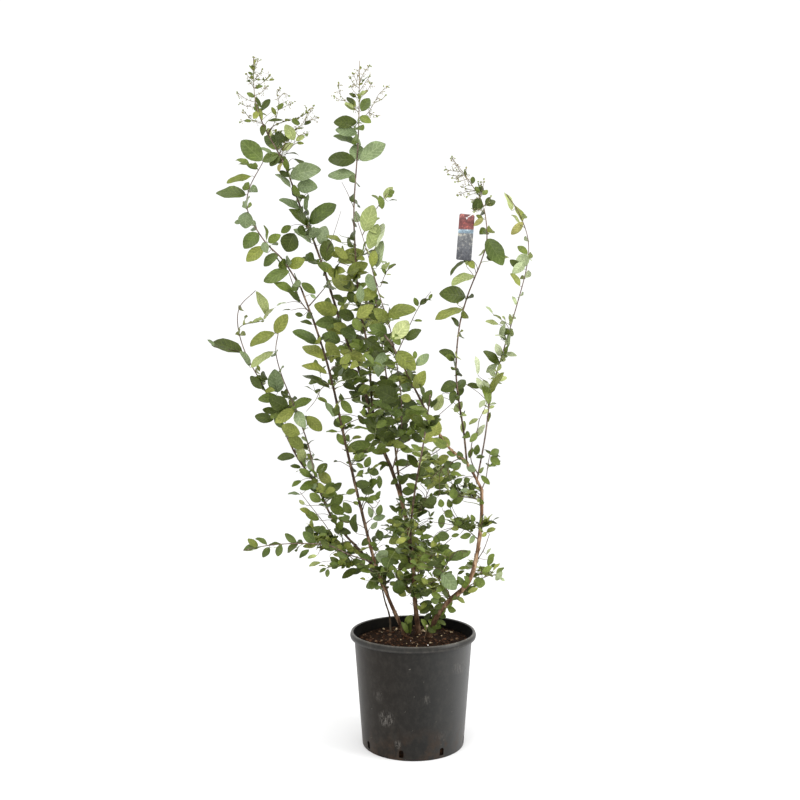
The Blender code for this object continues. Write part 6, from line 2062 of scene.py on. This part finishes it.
chips = chip_batch.make("bark_chips", [
    bark_mat("chip_dark", (0.008, 0.004, 0.002), (0.020, 0.010, 0.005),
             (0.045, 0.022, 0.011), 160.0, None, 0.6, 0.9),
    bark_mat("chip_red", (0.025, 0.010, 0.005), (0.055, 0.024, 0.011),
             (0.110, 0.052, 0.025), 160.0, None, 0.6, 0.9),
    bark_mat("chip_tan", (0.070, 0.038, 0.020), (0.125, 0.075, 0.042),
             (0.240, 0.160, 0.095), 160.0, None, 0.5, 0.9),
    bark_mat("chip_cream", (0.280, 0.200, 0.110), (0.430, 0.330, 0.200),
             (0.600, 0.490, 0.330), 160.0, None, 0.4, 0.9),
    bark_mat("chip_white", (0.700, 0.690, 0.650), (0.820, 0.810, 0.780),
             (0.900, 0.890, 0.870), 160.0, None, 0.3, 0.8)], False)
pot_flecks = outward(fleck_batch.make("pot_dust_and_sheen_flecks", [
    bark_mat("dried_dust_and_sheen", (0.040, 0.037, 0.033), (0.085, 0.079, 0.070),
             (0.150, 0.141, 0.126), 420.0, None, 0.2, 0.9)], False))

STEMS = [n for n, row in LIMBS.items() if row[2]]
BOUGHS = [n for n, row in LIMBS.items() if not row[2]]
for obj, nodes, slot_name in (
        [(pot, ["pot"], "charcoal_plastic"), (soil, ["soil"], "bark_soil"),
         (stems, STEMS, "bark"), (boughs, BOUGHS, "young_bark"),
         (tag, ["label_tag"], "tag_plastic"), (tie, ["label_tie"], "tie_plastic"),
         (twigs, [], "young_bark"), (stalks, [], "young_bark"),
         (buds, [], "leaf_light_green"), (chips, [], "bark_soil"),
         (pot_flecks, [], "charcoal_plastic")]
        + [(leaf_pieces[g], GROUPS[g], "leaf_green") for g in GROUPS]):
    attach(obj, "root")
    if nodes:
        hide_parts(*nodes)

# ------------------------------------------------------------------ floor, light, camera
floor_mesh = bpy.data.meshes.new("studio_floor")
floor_mesh.from_pydata([(-12, -12, 0), (12, -12, 0), (12, 30, 0), (-12, 30, 0)], [],
                       [(0, 1, 2, 3)])
floor = bpy.data.objects.new("studio_floor", floor_mesh)
bpy.context.scene.collection.objects.link(floor)
floor_mat, nt, bsdf = new_mat("floor_white")
tex = add_noise(nt, 2.0, 2.0)
nt.links.new(ramp(nt, tex.outputs["Fac"], [(0.3, (0.93, 0.93, 0.93)),
                                          (0.7, (0.95, 0.95, 0.95))]),
             bsdf.inputs["Base Color"])
bsdf.inputs["Roughness"].default_value = 0.9
floor.data.materials.append(floor_mat)

scene = bpy.context.scene
world = bpy.data.worlds.new("studio")
world.use_nodes = True
world.node_tree.nodes["Background"].inputs["Color"].default_value = (1, 1, 1, 1)
world.node_tree.nodes["Background"].inputs["Strength"].default_value = 1.09
scene.world = world
scene.view_settings.view_transform = "Standard"
scene.view_settings.look = "None"
scene.view_settings.exposure = 0.0
scene.view_settings.gamma = 1.0


def area(name, loc, target, size, power, colour=(1, 1, 1)):
    data = bpy.data.lights.new(name, "AREA")
    data.shape, data.size, data.energy, data.color = "SQUARE", size, power, colour
    obj = bpy.data.objects.new(name, data)
    obj.location = loc
    obj.rotation_euler = (Vector(target) - Vector(loc)).to_track_quat(
        "-Z", "Y").to_euler()
    scene.collection.objects.link(obj)


area("key_soft", (-1.6, -2.2, 3.2), (0, 0, 0.8), 2.4, 54)
area("fill_right", (2.4, -0.9, 1.4), (0, 0, 0.5), 1.4, 48)

cam_data = bpy.data.cameras.new("camera")
cam_data.sensor_width, cam_data.lens = 36.0, 39.87
cam_data.clip_end = 100.0
cam = bpy.data.objects.new("camera", cam_data)
cam.location = tuple(EYE)
cam.rotation_euler = (math.radians(90), 0, 0)
scene.collection.objects.link(cam)
scene.camera = cam
